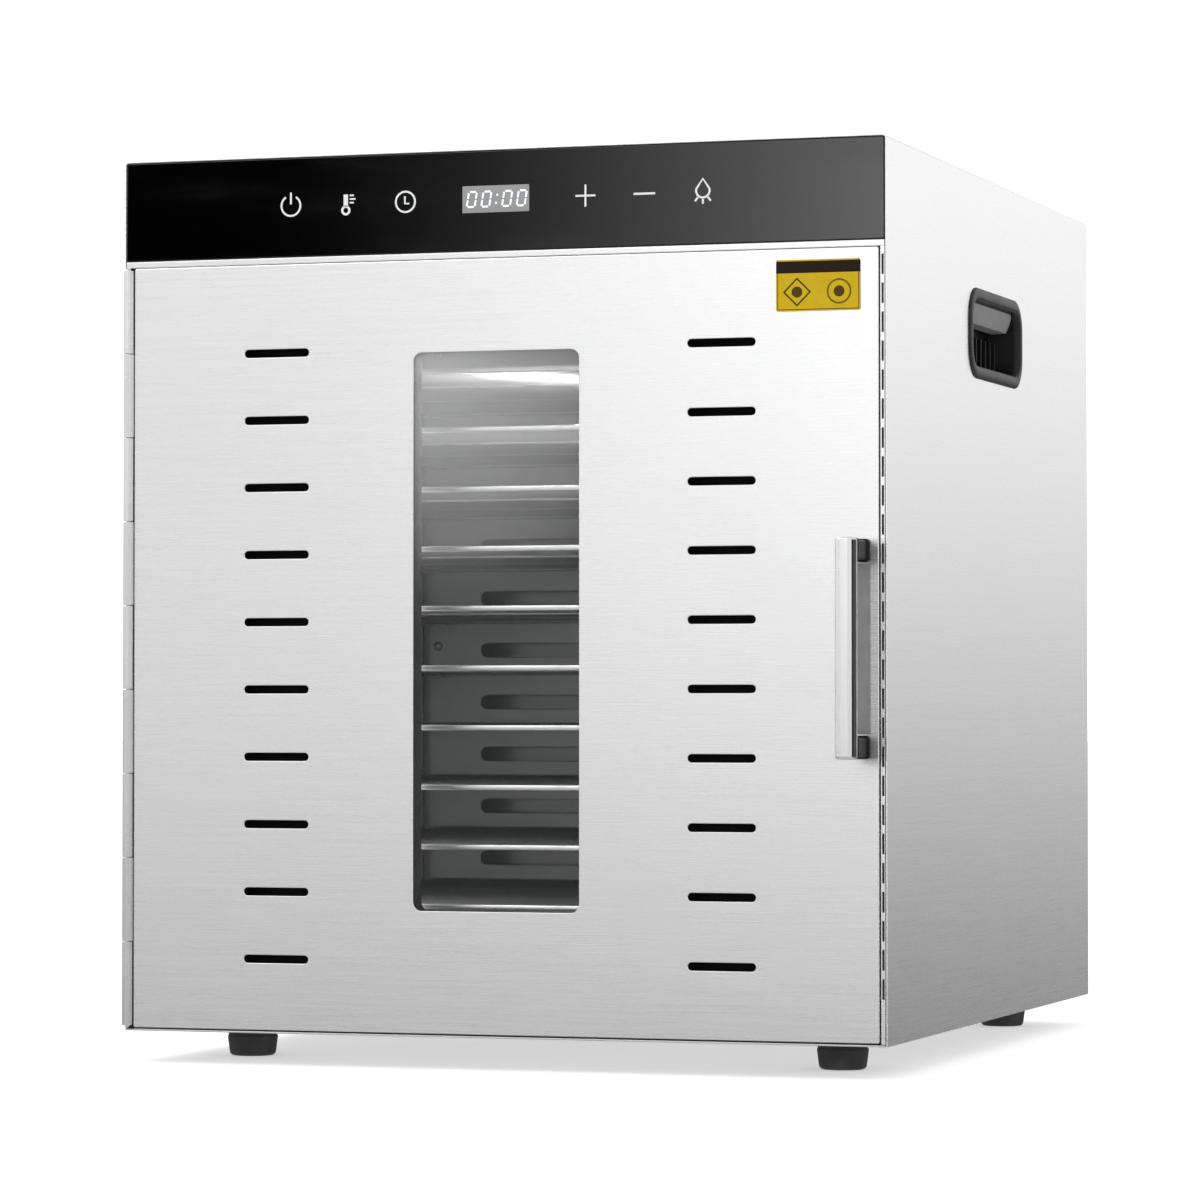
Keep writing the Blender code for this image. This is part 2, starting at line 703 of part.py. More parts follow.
def make_door_skins(pivot):
    """Outer pan with window and air slots, and the inner sheet that closes it."""
    clear = 0.005
    pan_back = DOOR_BACK - THIN_SHEET - GAP
    outer = block("door_outer_skin", (DOOR_LEFT, DOOR_RIGHT), (FRONT_Y, pan_back), (DOOR_BOTTOM, DOOR_TOP))
    pocket = block("door_pocket", (DOOR_LEFT + THIN_SHEET, DOOR_RIGHT - THIN_SHEET),
                   (FRONT_Y + THIN_SHEET, DOOR_BACK + clear),
                   (DOOR_BOTTOM + THIN_SHEET, DOOR_TOP - THIN_SHEET))
    cuts = [slot(centre, *SLOT_SIZE) for centre in slot_centres()]
    cuts.append(rounded_rectangle((0, WINDOW_Z), *WINDOW_SIZE, WINDOW_RADIUS))
    cuts += [circle((HANDLE_X, z), POST_BORE, 12) for z in post_heights()]
    through = prisms("door_cutter", "Y", (FRONT_Y - clear, FRONT_Y + clear), cuts)
    combine(outer, pocket, "DIFFERENCE")
    combine(outer, through, "DIFFERENCE")
    dress(outer, brushed_steel("door_outer_skin"), pivot)
    half_length = 0.022
    half_height = 0.004
    holes = [rectangle(x - half_length, x + half_length, z - half_height, z + half_height)
             for x, z in slot_centres()]
    border = 0.008
    holes.append(rounded_rectangle((0, WINDOW_Z), WINDOW_SIZE[0] + border, WINDOW_SIZE[1] + border, 0.006))
    inner = prism("door_inner_skin", "Y", (DOOR_BACK - THIN_SHEET, DOOR_BACK),
                  rectangle(DOOR_LEFT, DOOR_RIGHT, DOOR_BOTTOM, DOOR_TOP), holes)
    dress(inner, dull_steel("door_inner_skin"), pivot)


def make_window(pivot):
    """Glass pane behind the outer skin, and the black surround that holds it."""
    pane_front = FRONT_Y + THIN_SHEET + GAP
    pane_back = pane_front + 0.003
    width, height = WINDOW_SIZE
    pane = prism("window_glass", "Y", (pane_front, pane_back),
                 rounded_rectangle((0, WINDOW_Z), width + 0.011, height + 0.011, 0.006, 2))
    dress(pane, material("window_glass", (0.9, 0.93, 0.92), 0.03, alpha=0.25), pivot)
    surround = prism("window_gasket", "Y", (pane_back + GAP, DOOR_BACK - THIN_SHEET - GAP),
                     rounded_rectangle((0, WINDOW_Z), width + 0.016, height + 0.016, 0.008, 2),
                     [rounded_rectangle((0, WINDOW_Z), width + 0.002, height + 0.002, 0.006, 2)])
    dress(surround, black_rubber("window_gasket"), pivot)


def make_door_seal(pivot):
    """Soft seal on the back of the door, around the chamber's opening."""
    clear = 0.0035
    width = 0.005
    low = LINER_FLOOR - clear
    high = LINER_CEILING + clear
    side = LINER_X + clear
    seal = prism("door_seal", "Y", (DOOR_BACK + GAP, FRAME_Y - GAP),
                 rectangle(-side - width, side + width, low - width, high + width),
                 [rectangle(-side, side, low, high)])
    dress(seal, black_rubber("door_seal"), pivot)


def post_heights():
    """Heights of the two handle posts, flush with the ends of the bar."""
    reach = HANDLE_LENGTH / 2 - POST_SIZE[1] / 2
    return (HANDLE_Z - reach, HANDLE_Z + reach)


def make_handle(pivot):
    """Steel bar on two dark posts, each held by a screw from inside the door."""
    bar_front = FRONT_Y - HANDLE_REACH
    bar_back = bar_front + HANDLE_BAR[1]
    middle = (HANDLE_X, (bar_front + bar_back) / 2)
    edge = 0.001
    whole = rounded_rectangle(middle, *HANDLE_BAR, 0.0025)
    small = rounded_rectangle(middle, HANDLE_BAR[0] - edge, HANDLE_BAR[1] - edge, 0.0020)
    low = HANDLE_Z - HANDLE_LENGTH / 2
    high = HANDLE_Z + HANDLE_LENGTH / 2
    bar = loft("handle_bar", "Z", [(low, small), (low + edge, whole), (high - edge, whole), (high, small)])
    dress(bar, brushed_steel("handle_bar"), pivot, smooth=True)
    for z, end in zip(post_heights(), ("lower", "upper")):
        post_back = FRONT_Y - GAP
        outside = rounded_rectangle((HANDLE_X, z), *POST_SIZE, 0.002, 2)
        bore = circle((HANDLE_X, z), POST_BORE, len(outside))
        turn = len(outside) * 3 // 8
        bore = bore[-turn:] + bore[:-turn]
        post = loft("handle_post_" + end, "Y", [(post_back - 0.012, bore), (post_back, bore),
                                                (post_back, outside), (bar_back + GAP, outside)])
        dress(post, black_plastic("handle_post_" + end), pivot, smooth=True)
        head = FRONT_Y + THIN_SHEET + GAP
        shank = 0.0020
        screw = turned("handle_screw_" + end, "Y", (HANDLE_X, z),
                       [(FRONT_Y - 0.010, shank), (head, shank), (head, 0.0042), (head + 0.0025, 0.0036)],
                       12)
        dress(screw, dull_steel("handle_screw_" + end), pivot, smooth=True)


def make_catch(pivot):
    """Magnet behind the sealing frame, and the steel plate on the door that it holds."""
    half = 0.024
    height = (HANDLE_Z - half, HANDLE_Z + half)
    magnet_front = FRAME_Y + SHEET + GAP
    magnet = block("door_magnet", (LINER_X + 0.0022, INSIDE_X - 0.001), (magnet_front, magnet_front + 0.009),
                   height)
    dress(magnet, black_plastic("door_magnet"))
    plate_front = DOOR_BACK + GAP
    plate = block("catch_plate", (DOOR_RIGHT - 0.0070, DOOR_RIGHT - 0.0005),
                  (plate_front, plate_front + THIN_SHEET), height)
    dress(plate, dull_steel("catch_plate"), pivot)


def make_label(pivot):
    """Plain care label near the door's top right corner."""
    top = TOP_Z - 0.066
    right = DOOR_RIGHT - 0.010
    width = 0.0465
    height = 0.0275
    label = block("care_label", (right - width, right), (FRONT_Y - 2 * GAP, FRONT_Y - GAP),
                  (top - height, top))
    dress(label, material("care_label", (0.80, 0.55, 0.05), 0.5), pivot)


# Trays

def make_tray(number):
    """Sliding tray: rim and two cross rods, with a thin sheet where the wire mesh is."""
    height = tray_height(number)
    pivot = pivot_empty("tray_%02d_slide" % number, (0, -TRAY_DEPTH / 2, height))
    half = TRAY_THICKNESS / 2
    rim = 0.004
    rod = 0.003
    mesh_half = 0.00015
    edge_x = TRAY_WIDTH / 2 - rim / 2
    edge_y = TRAY_DEPTH / 2 - rim / 2
    name = "tray_%02d" % number
    tray = prism(name, "Z", (height - half, height + half),
                 rounded_rectangle((0, 0), TRAY_WIDTH, TRAY_DEPTH, 0.006, 3),
                 [rounded_rectangle((0, 0), TRAY_WIDTH - 2 * rim, TRAY_DEPTH - 2 * rim, 0.002, 3)])
    sheet = block("tray_sheet", (-edge_x, edge_x), (-edge_y, edge_y),
                  (height - mesh_half, height + mesh_half))
    rods = prisms("tray_rods", "Z", (height - half + 0.0002, height),
                  [rectangle(-edge_x, edge_x, y - rod / 2, y + rod / 2)
                   for y in (-TRAY_DEPTH / 6, TRAY_DEPTH / 6)])
    combine(tray, sheet, "UNION")
    combine(tray, rods, "UNION")
    dress(tray, dull_steel(name), pivot)


def main():
    clear_scene()
    make_outer_shell()
    make_base_and_back()
    make_front_frame()
    make_liner()
    make_tray_rack("tray_rack_left", -1)
    make_tray_rack("tray_rack_right", 1)
    make_feet()
    make_side_grip("side_grip_left", -1)
    make_side_grip("side_grip_right", 1)
    make_control_panel()
    make_power_board()
    make_power_inlet()
    make_lamp_and_probe()
    make_heater()
    make_motor()
    make_fan(pivot_empty("fan_axis", (0, FAN_Y, FAN_Z)))
    door_pivot = pivot_empty("door_axis", (HINGE_X, HINGE_Y, (DOOR_BOTTOM + DOOR_TOP) / 2))
    make_hinge(door_pivot)
    make_door_skins(door_pivot)
    make_window(door_pivot)
    make_door_seal(door_pivot)
    make_handle(door_pivot)
    make_catch(door_pivot)
    make_label(door_pivot)
    for number in range(1, TRAY_COUNT + 1):
        make_tray(number)
    bpy.context.view_layer.update()


main()
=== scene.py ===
"""Looks of the ten-tray cabinet food dehydrator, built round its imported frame.

Metres, +Z up. The front faces -Y and +X is on the right as seen from the front. Every piece is
made where it belongs in the frame and rides on one of the frame's bodies.
"""
import json
import math

import bmesh
import bpy
from mathutils import Matrix, Vector

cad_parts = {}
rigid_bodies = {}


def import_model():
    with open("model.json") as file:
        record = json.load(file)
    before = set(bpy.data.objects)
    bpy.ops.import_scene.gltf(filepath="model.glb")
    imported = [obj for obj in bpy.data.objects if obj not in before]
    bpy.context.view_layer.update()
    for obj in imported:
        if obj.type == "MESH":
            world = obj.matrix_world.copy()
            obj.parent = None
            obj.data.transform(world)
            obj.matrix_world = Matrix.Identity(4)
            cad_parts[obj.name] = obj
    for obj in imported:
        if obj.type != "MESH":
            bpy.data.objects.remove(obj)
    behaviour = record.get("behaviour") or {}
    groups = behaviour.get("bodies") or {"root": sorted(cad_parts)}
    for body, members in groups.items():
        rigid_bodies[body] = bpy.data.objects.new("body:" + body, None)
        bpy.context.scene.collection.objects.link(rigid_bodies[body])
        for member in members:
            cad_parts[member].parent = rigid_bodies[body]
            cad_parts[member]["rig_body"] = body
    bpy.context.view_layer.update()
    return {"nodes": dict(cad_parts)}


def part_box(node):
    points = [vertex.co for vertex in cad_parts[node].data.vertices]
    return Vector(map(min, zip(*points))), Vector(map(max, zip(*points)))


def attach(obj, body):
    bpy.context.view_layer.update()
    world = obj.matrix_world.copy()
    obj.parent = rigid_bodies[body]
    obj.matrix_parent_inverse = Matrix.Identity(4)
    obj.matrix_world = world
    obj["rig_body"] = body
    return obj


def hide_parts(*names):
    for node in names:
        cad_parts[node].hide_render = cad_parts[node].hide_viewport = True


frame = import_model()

TRAY_COUNT = 10
SLOT_ROWS = 10
SLOT_PITCH = 0.0372
SLOT_LENGTH = 0.038
SLOT_HEIGHT = 0.0045
SLOT_COLUMN_X = 0.1283
FIRST_SLOT_DROP = 0.1092
WINDOW_WIDTH = 0.0955
WINDOW_HEIGHT = 0.3055
WINDOW_DROP = 0.1108
WINDOW_RADIUS = 0.005
VENT_LENGTH = 0.060
VENT_HEIGHT = 0.005
VENT_PITCH = 0.014
VENT_COLUMN_X = 0.034
WIRE_PITCH = 0.003
WIRE_RADIUS = 0.0004
SLIT_COUNT = 26
SLIT_PITCH = 0.0154
SLIT_LENGTH = 0.0109
SLIT_WIDTH = 0.0012
FIRST_SLIT_DROP = 0.06945
BAFFLE_SLOT = (0.144, 0.009)
BAFFLE_SLOT_X = 0.088
BLADE_COUNT = 6
KEY_STROKE = 0.00105
PRINT_THICKNESS = 0.00006
WELD_DISTANCE = 1e-6
WHITE = (1.0, 1.0, 1.0)

SHELL_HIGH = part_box("outer_shell")[1]
TOP_Z = SHELL_HIGH.z
DOOR_LOW, DOOR_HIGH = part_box("door_outer_skin")
HANDLE_ENDS = ("lower", "upper")
COVER_LOW, COVER_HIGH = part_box("rear_vent_cover")
FAN_Z = (COVER_LOW.z + COVER_HIGH.z) / 2
WINDOW_Z = TOP_Z - WINDOW_DROP - WINDOW_HEIGHT / 2


# Shader maths

class Signal:
    """One output of a node. Arithmetic on it adds the nodes that work the result out."""

    def __init__(self, finish, socket):
        self.finish = finish
        self.socket = socket

    def math(self, operation, *values):
        return self.finish.node("ShaderNodeMath", {"operation": operation}, dict(enumerate(values)))

    def __add__(self, other):
        return self.math("ADD", self, other)

    __radd__ = __add__

    def __sub__(self, other):
        return self.math("SUBTRACT", self, other)

    def __rsub__(self, other):
        return self.math("SUBTRACT", other, self)

    def __mul__(self, other):
        return self.math("MULTIPLY", self, other)

    __rmul__ = __mul__

    def __truediv__(self, other):
        return self.math("DIVIDE", self, other)

    def __pow__(self, other):
        return self.math("POWER", self, other)

    def __neg__(self):
        return self.math("SUBTRACT", 0.0, self)

    def __abs__(self):
        return self.math("ABSOLUTE", self)

    def __mod__(self, other):
        return self.math("FLOORED_MODULO", self, other)

    def __gt__(self, other):
        return self.math("GREATER_THAN", self, other)

    def __lt__(self, other):
        return self.math("LESS_THAN", self, other)

    def wave(self):
        return self.math("SINE", self)

    def larger(self, other):
        return self.math("MAXIMUM", self, other)

    def smaller(self, other):
        return self.math("MINIMUM", self, other)

    def spread(self, low, high, first=0.0, last=1.0):
        """Eased from first to last while this goes from low to high."""
        return self.finish.node("ShaderNodeMapRange", {"interpolation_type": "SMOOTHSTEP"},
                                {"Value": self, "From Min": low, "From Max": high,
                                 "To Min": first, "To Max": last})


class Shading:
    """A node tree with one shader, and the nodes that feed it."""

    def __init__(self, owner, shader):
        owner.use_nodes = True
        self.tree = owner.node_tree
        self.shader = self.tree.nodes[shader]

    def set(self, socket, value):
        """Link or set one socket of the shader."""
        self.fill(self.shader.inputs[socket], value)

    def fill(self, target, value):
        if isinstance(value, Signal):
            self.tree.links.new(value.socket, target)
        elif target.type == "RGBA" and len(value) == 3:
            target.default_value = (*value, 1.0)
        else:
            target.default_value = value

    def node(self, kind, settings=None, sockets=None, output=None):
        """Add a node: its settings first, then its sockets. Gives one output as a signal."""
        made = self.tree.nodes.new(kind)
        for setting, value in (settings or {}).items():
            setattr(made, setting, value)
        for key, value in (sockets or {}).items():
            if isinstance(key, int):
                target = made.inputs[key]
            else:
                target = next(s for s in made.inputs if s.name == key and s.enabled)
            self.fill(target, value)
        outputs = [s for s in made.outputs if s.enabled and output in (None, s.name)]
        return Signal(self, outputs[0])

    def parts(self, vector):
        """A vector's three parts."""
        outputs = self.node("ShaderNodeSeparateXYZ", sockets={"Vector": vector}).socket.node.outputs
        return tuple(Signal(self, outputs[axis]) for axis in "XYZ")


class Finish(Shading):
    """One material: a Principled shader, and the nodes that vary it over the surface."""

    def __init__(self, name, colour, roughness, metallic=0.0, **constants):
        self.material = bpy.data.materials.new(name)
        super().__init__(self.material, "Principled BSDF")
        self.set("Base Color", colour)
        self.set("Roughness", roughness)
        self.set("Metallic", metallic)
        for socket, value in constants.items():
            self.set(socket.replace("_", " "), value)

    def place(self):
        """The point on the surface, in the piece's own frame."""
        return self.node("ShaderNodeTexCoord", output="Object")

    def axes(self):
        """That point as three signals."""
        return self.parts(self.place())

    def facing(self, axis):
        """How squarely the surface faces along an axis, 0 to 1."""
        return abs(self.parts(self.node("ShaderNodeNewGeometry", output="Normal"))["XYZ".index(axis)])

    def point(self, x, y, z):
        return self.node("ShaderNodeCombineXYZ", sockets={"X": x, "Y": y, "Z": z})

    def scaled(self, x, y, z):
        """The point with its axes stretched, in features for each metre."""
        return self.node("ShaderNodeVectorMath", {"operation": "MULTIPLY"}, {0: self.place(), 1: (x, y, z)})

    def noise(self, where, scale=1.0, detail=2.0, rough=0.5):
        return self.node("ShaderNodeTexNoise", None,
                         {"Vector": where, "Scale": scale, "Detail": detail, "Roughness": rough})

    def grain(self, scale, detail, rough):
        """Noise in the piece's own frame, in features for each metre."""
        return self.noise(self.place(), scale, detail, rough)

    def cells(self, where, scale=1.0):
        return self.node("ShaderNodeTexVoronoi", None, {"Vector": where, "Scale": scale}, "Distance")

    def mixed(self, share, first, second):
        """Colour from first to second."""
        return self.node("ShaderNodeMix", {"data_type": "RGBA"}, {"Factor": share, "A": first, "B": second})

    def tint(self, share, first, second):
        """Base colour from first to second."""
        self.set("Base Color", self.mixed(share, first, second))

    def relief(self, height, depth, strength=1.0):
        """Raise the surface by a height signal."""
        bump = self.node("ShaderNodeBump", None, {"Height": height, "Distance": depth, "Strength": strength})
        self.set("Normal", bump)

    def worn(self):
        """Bare edges: where the surface turns sharply, 0 to 1."""
        point = self.node("ShaderNodeNewGeometry", output="Pointiness")
        return point.spread(0.52, 0.60)


# Finishes

def brushed(name, colour, roughness, fast, slow=14.0, depth=0.000012):
    """Stainless with fine brushing. fast is the axis across the lines; top faces run left to right."""
    steel = Finish(name, colour, roughness, 1.0)
    x, y, z = steel.axes()
    top = steel.facing("Z") > 0.7
    if fast == "Z":
        across = z + y * top
        along = x + y * (1 - top)
    else:
        across = x + y
        along = z
    lines = steel.noise(steel.point(along * slow, across * 4200, 0.0), 1.0, 3.0, 0.6)
    bands = steel.noise(steel.point(along * slow * 0.4, across * 520, 0.0), 1.0, 2.0, 0.5)
    handled = steel.grain(9.0, 4.0, 0.55)
    steel.set("Roughness", roughness + (lines - 0.5) * 0.12 + (bands - 0.5) * 0.03
              + handled.spread(0.50, 0.78) * 0.015)
    pale = tuple(min(1.0, part * 1.03) for part in colour)
    deep = tuple(part * 0.95 for part in colour)
    steel.tint((lines * 0.75 + bands * 0.25).spread(0.3, 0.7), deep, pale)
    steel.relief(lines + bands * 0.12, depth, 0.30)
    return steel


def mill_sheet(name, colour, roughness):
    """Plain rolled sheet with soft cloudiness and a few fine scratches."""
    steel = Finish(name, colour, roughness, 1.0)
    cloud = steel.grain(26.0, 5.0, 0.6)
    rolled = steel.noise(steel.scaled(30, 30, 1500), 1.0, 2.0, 0.5)
    scratch = steel.noise(steel.scaled(900, 40, 900), 1.0, 1.0, 0.4).spread(0.70, 0.76)
    steel.set("Roughness", roughness + (cloud - 0.5) * 0.10 + (rolled - 0.5) * 0.08 - scratch * 0.06)
    steel.tint(cloud.spread(0.3, 0.7), tuple(0.94 * part for part in colour), colour)
    steel.relief(rolled * 0.5 + cloud * 0.5, 0.00002, 0.5)
    return steel


def bright_wire(name):
    """Electropolished wire, a little stained where it rests."""
    steel = Finish(name, (0.90, 0.90, 0.905), 0.3, 1.0)
    stain = steel.grain(38.0, 4.0, 0.6).spread(0.52, 0.72)
    drawn = steel.grain(2600.0, 2.0, 0.5)
    steel.tint(stain, (0.92, 0.92, 0.925), (0.78, 0.77, 0.75))
    steel.set("Roughness", 0.30 + stain * 0.14 + drawn * 0.08)
    steel.relief(drawn, 0.00001, 0.4)
    return steel


def black_glass(name):
    """Black-backed glass, nearly clean: soft wiping marks change only its gloss."""
    glass = Finish(name, (0.0008, 0.0008, 0.0010), 0.05)
    wiped = glass.noise(glass.scaled(7, 7, 32), 1.0, 4.0, 0.6).spread(0.42, 0.75)
    dust = glass.cells(glass.place(), 900.0).spread(0.05, 0.0)
    glass.set("Roughness", 0.045 + wiped * 0.07 + dust * 0.15)
    glass.tint(wiped * 0.6, (0.0006, 0.0006, 0.0008), (0.0016, 0.0016, 0.0018))
    return glass


def clear_glass(name):
    """Clear pane with a pale mist near its top, less towards its right side: partly condensation where the
    warm air gathers, partly a painted glow of the chamber lamp's light on the pane.
    """
    glass = Finish(name, (0.90, 0.93, 0.92), 0.05)
    x, y, z = glass.axes()
    patches = glass.noise(glass.scaled(16, 16, 9), 1.0, 3.0, 0.55)
    # Painted glow: the pale mist is strongest near the top. It is partly condensation and partly stands in
    # for the lamp light on the pane.
    steam_and_glow = z.spread(WINDOW_Z - 0.02, WINDOW_Z + WINDOW_HEIGHT / 2) * (1 - x.spread(-0.05, 0.09, 0.0, 0.6))
    haze_and_glow = steam_and_glow ** 1.5 * (0.75 + patches * 0.5)
    glass.tint(haze_and_glow.spread(0.0, 0.2), (0.25, 0.27, 0.27), (0.93, 0.94, 0.94))
    glass.set("Alpha", 0.03 + haze_and_glow * 0.16)
    glass.set("Roughness", 0.03 + haze_and_glow * 0.5)
    glass.material.surface_render_method = "BLENDED"
    return glass


def moulded(name, colour, roughness, grain=2600.0, depth=0.00004):
    """Black moulding with a fine spark-eroded grain, paler on its edges; round the grips' lips it is tinted
    grey as a painted highlight.
    """
    plastic = Finish(name, colour, roughness, 0.0, Specular_IOR_Level=0.10)
    pits = plastic.grain(grain, 3.0, 0.6)
    cloud = plastic.grain(45.0, 3.0, 0.5)
    pale = tuple(part * 2.4 + 0.012 for part in colour)
    # Painted highlight: the grips' rolled lips are tinted grey to stand in for the light they catch.
    lip = abs(plastic.axes()[0]).spread(SHELL_HIGH.x - 0.0035, SHELL_HIGH.x - 0.0010)
    aged = plastic.mixed(plastic.worn() * 0.55 + cloud * 0.15, colour, pale)
    plastic.tint(lip * (0.8 + cloud * 0.4), aged, (0.024, 0.024, 0.025))
    plastic.set("Roughness", roughness + (pits - 0.5) * 0.16 + (cloud - 0.5) * 0.10)
    plastic.relief(pits, depth, 0.6)
    return plastic


def rubber(name, colour):
    """Matt rubber with dust in its pores."""
    soft = Finish(name, colour, 0.78)
    pores = soft.grain(1700.0, 3.0, 0.65)
    dusty = soft.grain(70.0, 4.0, 0.6).spread(0.45, 0.75)
    soft.tint(dusty * 0.5 + pores * 0.15, colour, (0.075, 0.073, 0.070))
    soft.set("Roughness", 0.70 + dusty * 0.16)
    soft.relief(pores, 0.00005, 0.7)
    return soft


def circuit_board(name):
    """Green resist with copper tracks under it and tinned pads."""
    board = Finish(name, (0.012, 0.10, 0.045), 0.4)
    x, y, z = board.axes()
    wander = board.grain(55.0, 1.0, 0.4)
    lines = ((x + y * 0.3 + wander * 0.012) % 0.0042) < 0.0012
    tracks = lines * (((y + z + wander * 0.02) % 0.019) > 0.004)
    pads = board.cells(board.place(), 120.0) < 0.18
    resist = board.mixed(tracks, (0.010, 0.085, 0.036), (0.030, 0.20, 0.07))
    board.tint(pads, resist, (0.66, 0.64, 0.58))
    board.set("Metallic", pads * 0.9)
    board.set("Roughness", 0.42 - tracks * 0.08 - pads * 0.06)
    board.relief(tracks * 0.5 + pads, 0.00006, 0.7)
    return board


def glazed_ceramic(name):
    """Off-white glazed ceramic."""
    glaze = Finish(name, (0.78, 0.77, 0.74), 0.22, 0.0, Coat_Roughness=0.08)
    speck = glaze.grain(320.0, 3.0, 0.6)
    glaze.tint(speck.spread(0.4, 0.8), (0.80, 0.79, 0.76), (0.63, 0.61, 0.57))
    glaze.set("Coat Weight", 0.4 + speck * 0.2)
    glaze.relief(speck, 0.00006, 0.4)
    return glaze


def lamp_glass(name):
    """Frosted lens of the lit chamber lamp."""
    lens = Finish(name, (0.95, 0.93, 0.86), 0.35, 0.0, Emission_Strength=7.0)
    x, y, z = lens.axes()
    frost = lens.grain(800.0, 3.0, 0.6)
    lens.set("Emission Color", lens.mixed(frost, (1.0, 0.95, 0.84), (1.0, 0.98, 0.93)))
    lens.tint(frost, (0.92, 0.90, 0.84), (0.98, 0.96, 0.90))
    lens.relief(((x + y) * 3200.0).wave() * 0.3 + frost, 0.00008, 0.6)
    return lens


def heater_sheath(name):
    """Heat-darkened tube with blue and straw tints."""
    sheath = Finish(name, (0.20, 0.18, 0.17), 0.46, 1.0)
    heat = sheath.grain(24.0, 3.0, 0.5)
    scale = sheath.grain(600.0, 4.0, 0.65)
    tint = sheath.mixed(heat.spread(0.35, 0.65), (0.24, 0.17, 0.11), (0.13, 0.14, 0.19))
    sheath.tint(scale.spread(0.45, 0.7), tint, (0.07, 0.065, 0.062))
    sheath.set("Roughness", 0.38 + scale * 0.3)
    sheath.relief(scale, 0.00005, 0.6)
    return sheath


def motor_case(name):
    """Dark lacquered case with the stack of laminations round its middle."""
    case = Finish(name, (0.10, 0.10, 0.11), 0.45, 0.4)
    x, y, z = case.axes()
    stack = ((y * 9000.0).wave() * 0.5 + 0.5) * (1 - (case.facing("Y") > 0.6))
    orange = case.grain(900.0, 2.0, 0.5)
    case.tint(stack * 0.5, (0.075, 0.075, 0.082), (0.22, 0.22, 0.225))
    case.set("Roughness", 0.42 + orange * 0.15)
    case.relief(stack + orange * 0.3, 0.00012, 0.7)
    return case


def grained(plain, colours, smoothest, fine, broad, depth):
    """Broad clouds of two colours, and a fine grain in the gloss and the relief."""
    grain = plain.grain(*fine)
    plain.tint(plain.grain(*broad), *colours)
    plain.set("Roughness", smoothest + grain * 0.2)
    plain.relief(grain, depth, 0.6)
    return plain


def fan_aluminium(name):
    """Stamped aluminium of the fan's blades."""
    return grained(Finish(name, (0.66, 0.66, 0.67), 0.36, 1.0), ((0.54, 0.54, 0.55), (0.74, 0.74, 0.75)),
                   0.30, (700.0, 4.0, 0.65), (60.0, 3.0, 0.5), 0.00003)


def label_film(name):
    """Amber care label: dark heading band, thin border, a plain diamond and a plain ring."""
    low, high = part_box("care_label")
    film = Finish(name, (0.78, 0.50, 0.03), 0.45, 0.0, Specular_IOR_Level=0.12)
    x, y, z = film.axes()
    middle = (low.x + high.x) / 2
    reach = (high.x - low.x) / 2
    across = abs(x - middle)
    heading = (z > high.z - 0.0072) * (z < high.z - 0.0008)
    border = ((across > reach - 0.0011).larger(z < low.z + 0.0011)
              * (across < reach - 0.0006) * (z > low.z + 0.0006))
    offset = abs(across - reach * 0.50)
    rise = abs(z - (low.z + 0.0102))
    distance = (offset * offset + rise * rise) ** 0.5
    right = x > middle
    ring = (distance < 0.0068) * (distance > 0.0058) * right
    slanted = offset + rise
    diamond = (slanted < 0.0078) * (slanted > 0.0066) * (1 - right)
    dots = distance < 0.0030
    printed = heading.larger(border * 0.8).larger(ring * 0.75).larger(diamond * 0.95).larger(dots * 0.9)
    rubbed = film.grain(260.0, 4.0, 0.6)
    amber = film.mixed(rubbed, (0.42, 0.275, 0.004), (0.54, 0.365, 0.008))
    film.tint(printed, amber, (0.014, 0.007, 0.003))
    film.set("Roughness", 0.42 + rubbed * 0.2)
    film.relief(rubbed - printed * 0.3, 0.00002, 0.5)
    return film


def printed_white(name, glow):
    """White print behind the glass, faintly backlit."""
    ink = Finish(name, (0.86, 0.88, 0.90), 0.35, 0.0, Emission_Strength=glow)
    mottle = ink.grain(1500.0, 2.0, 0.5)
    ink.tint(mottle, (0.52, 0.53, 0.54), (0.62, 0.63, 0.64))
    ink.set("Emission Color", ink.mixed(mottle, (0.80, 0.83, 0.86), (0.95, 0.97, 1.0)))
    return ink


def display_grey(name):
    """Lit liquid-crystal window with its faint dot raster."""
    cell = Finish(name, (0.12, 0.12, 0.125), 0.25, 0.0, Emission_Strength=0.17)
    x, y, z = cell.axes()
    raster = ((x * 9000.0).wave() * (z * 9000.0).wave()).spread(-1.0, 1.0)
    cell.tint(raster, (0.10, 0.10, 0.11), (0.14, 0.14, 0.145))
    cell.set("Emission Color", cell.mixed(raster, (0.80, 0.82, 0.84), (0.95, 0.96, 0.98)))
    return cell


def black_felt(name):
    """Black felt inside the door, painted shade that keeps the air slots dark: loose fibres on a dark mat."""
    felt = Finish(name, (0.004, 0.004, 0.0045), 0.95)
    fibres = felt.noise(felt.scaled(2200, 2200, 900), 1.0, 4.0, 0.7)
    felt.tint(fibres, (0.002, 0.002, 0.0025), (0.010, 0.010, 0.011))
    felt.relief(fibres, 0.0002, 0.9)
    return felt


def soft_grey(name):
    """Soft grey rubber of the grips' pads, and of the grey sheet on the door between the handle's posts,
    which is painted reflection of the bar.
    """
    return grained(Finish(name, (0.20, 0.20, 0.205), 0.7, 0.0, Specular_IOR_Level=0.2),
                   ((0.155, 0.155, 0.158), (0.225, 0.225, 0.228)),
                   0.62, (1400.0, 3.0, 0.6), (120.0, 3.0, 0.6), 0.00006)


def contact_brass(name):
    """Nickelled brass contact pins."""
    pin = Finish(name, (0.72, 0.64, 0.46), 0.3, 1.0)
    wear = pin.grain(900.0, 3.0, 0.6)
    pin.tint(wear, (0.72, 0.70, 0.64), (0.66, 0.52, 0.30))
    pin.set("Roughness", 0.22 + wear * 0.2)
    return pin


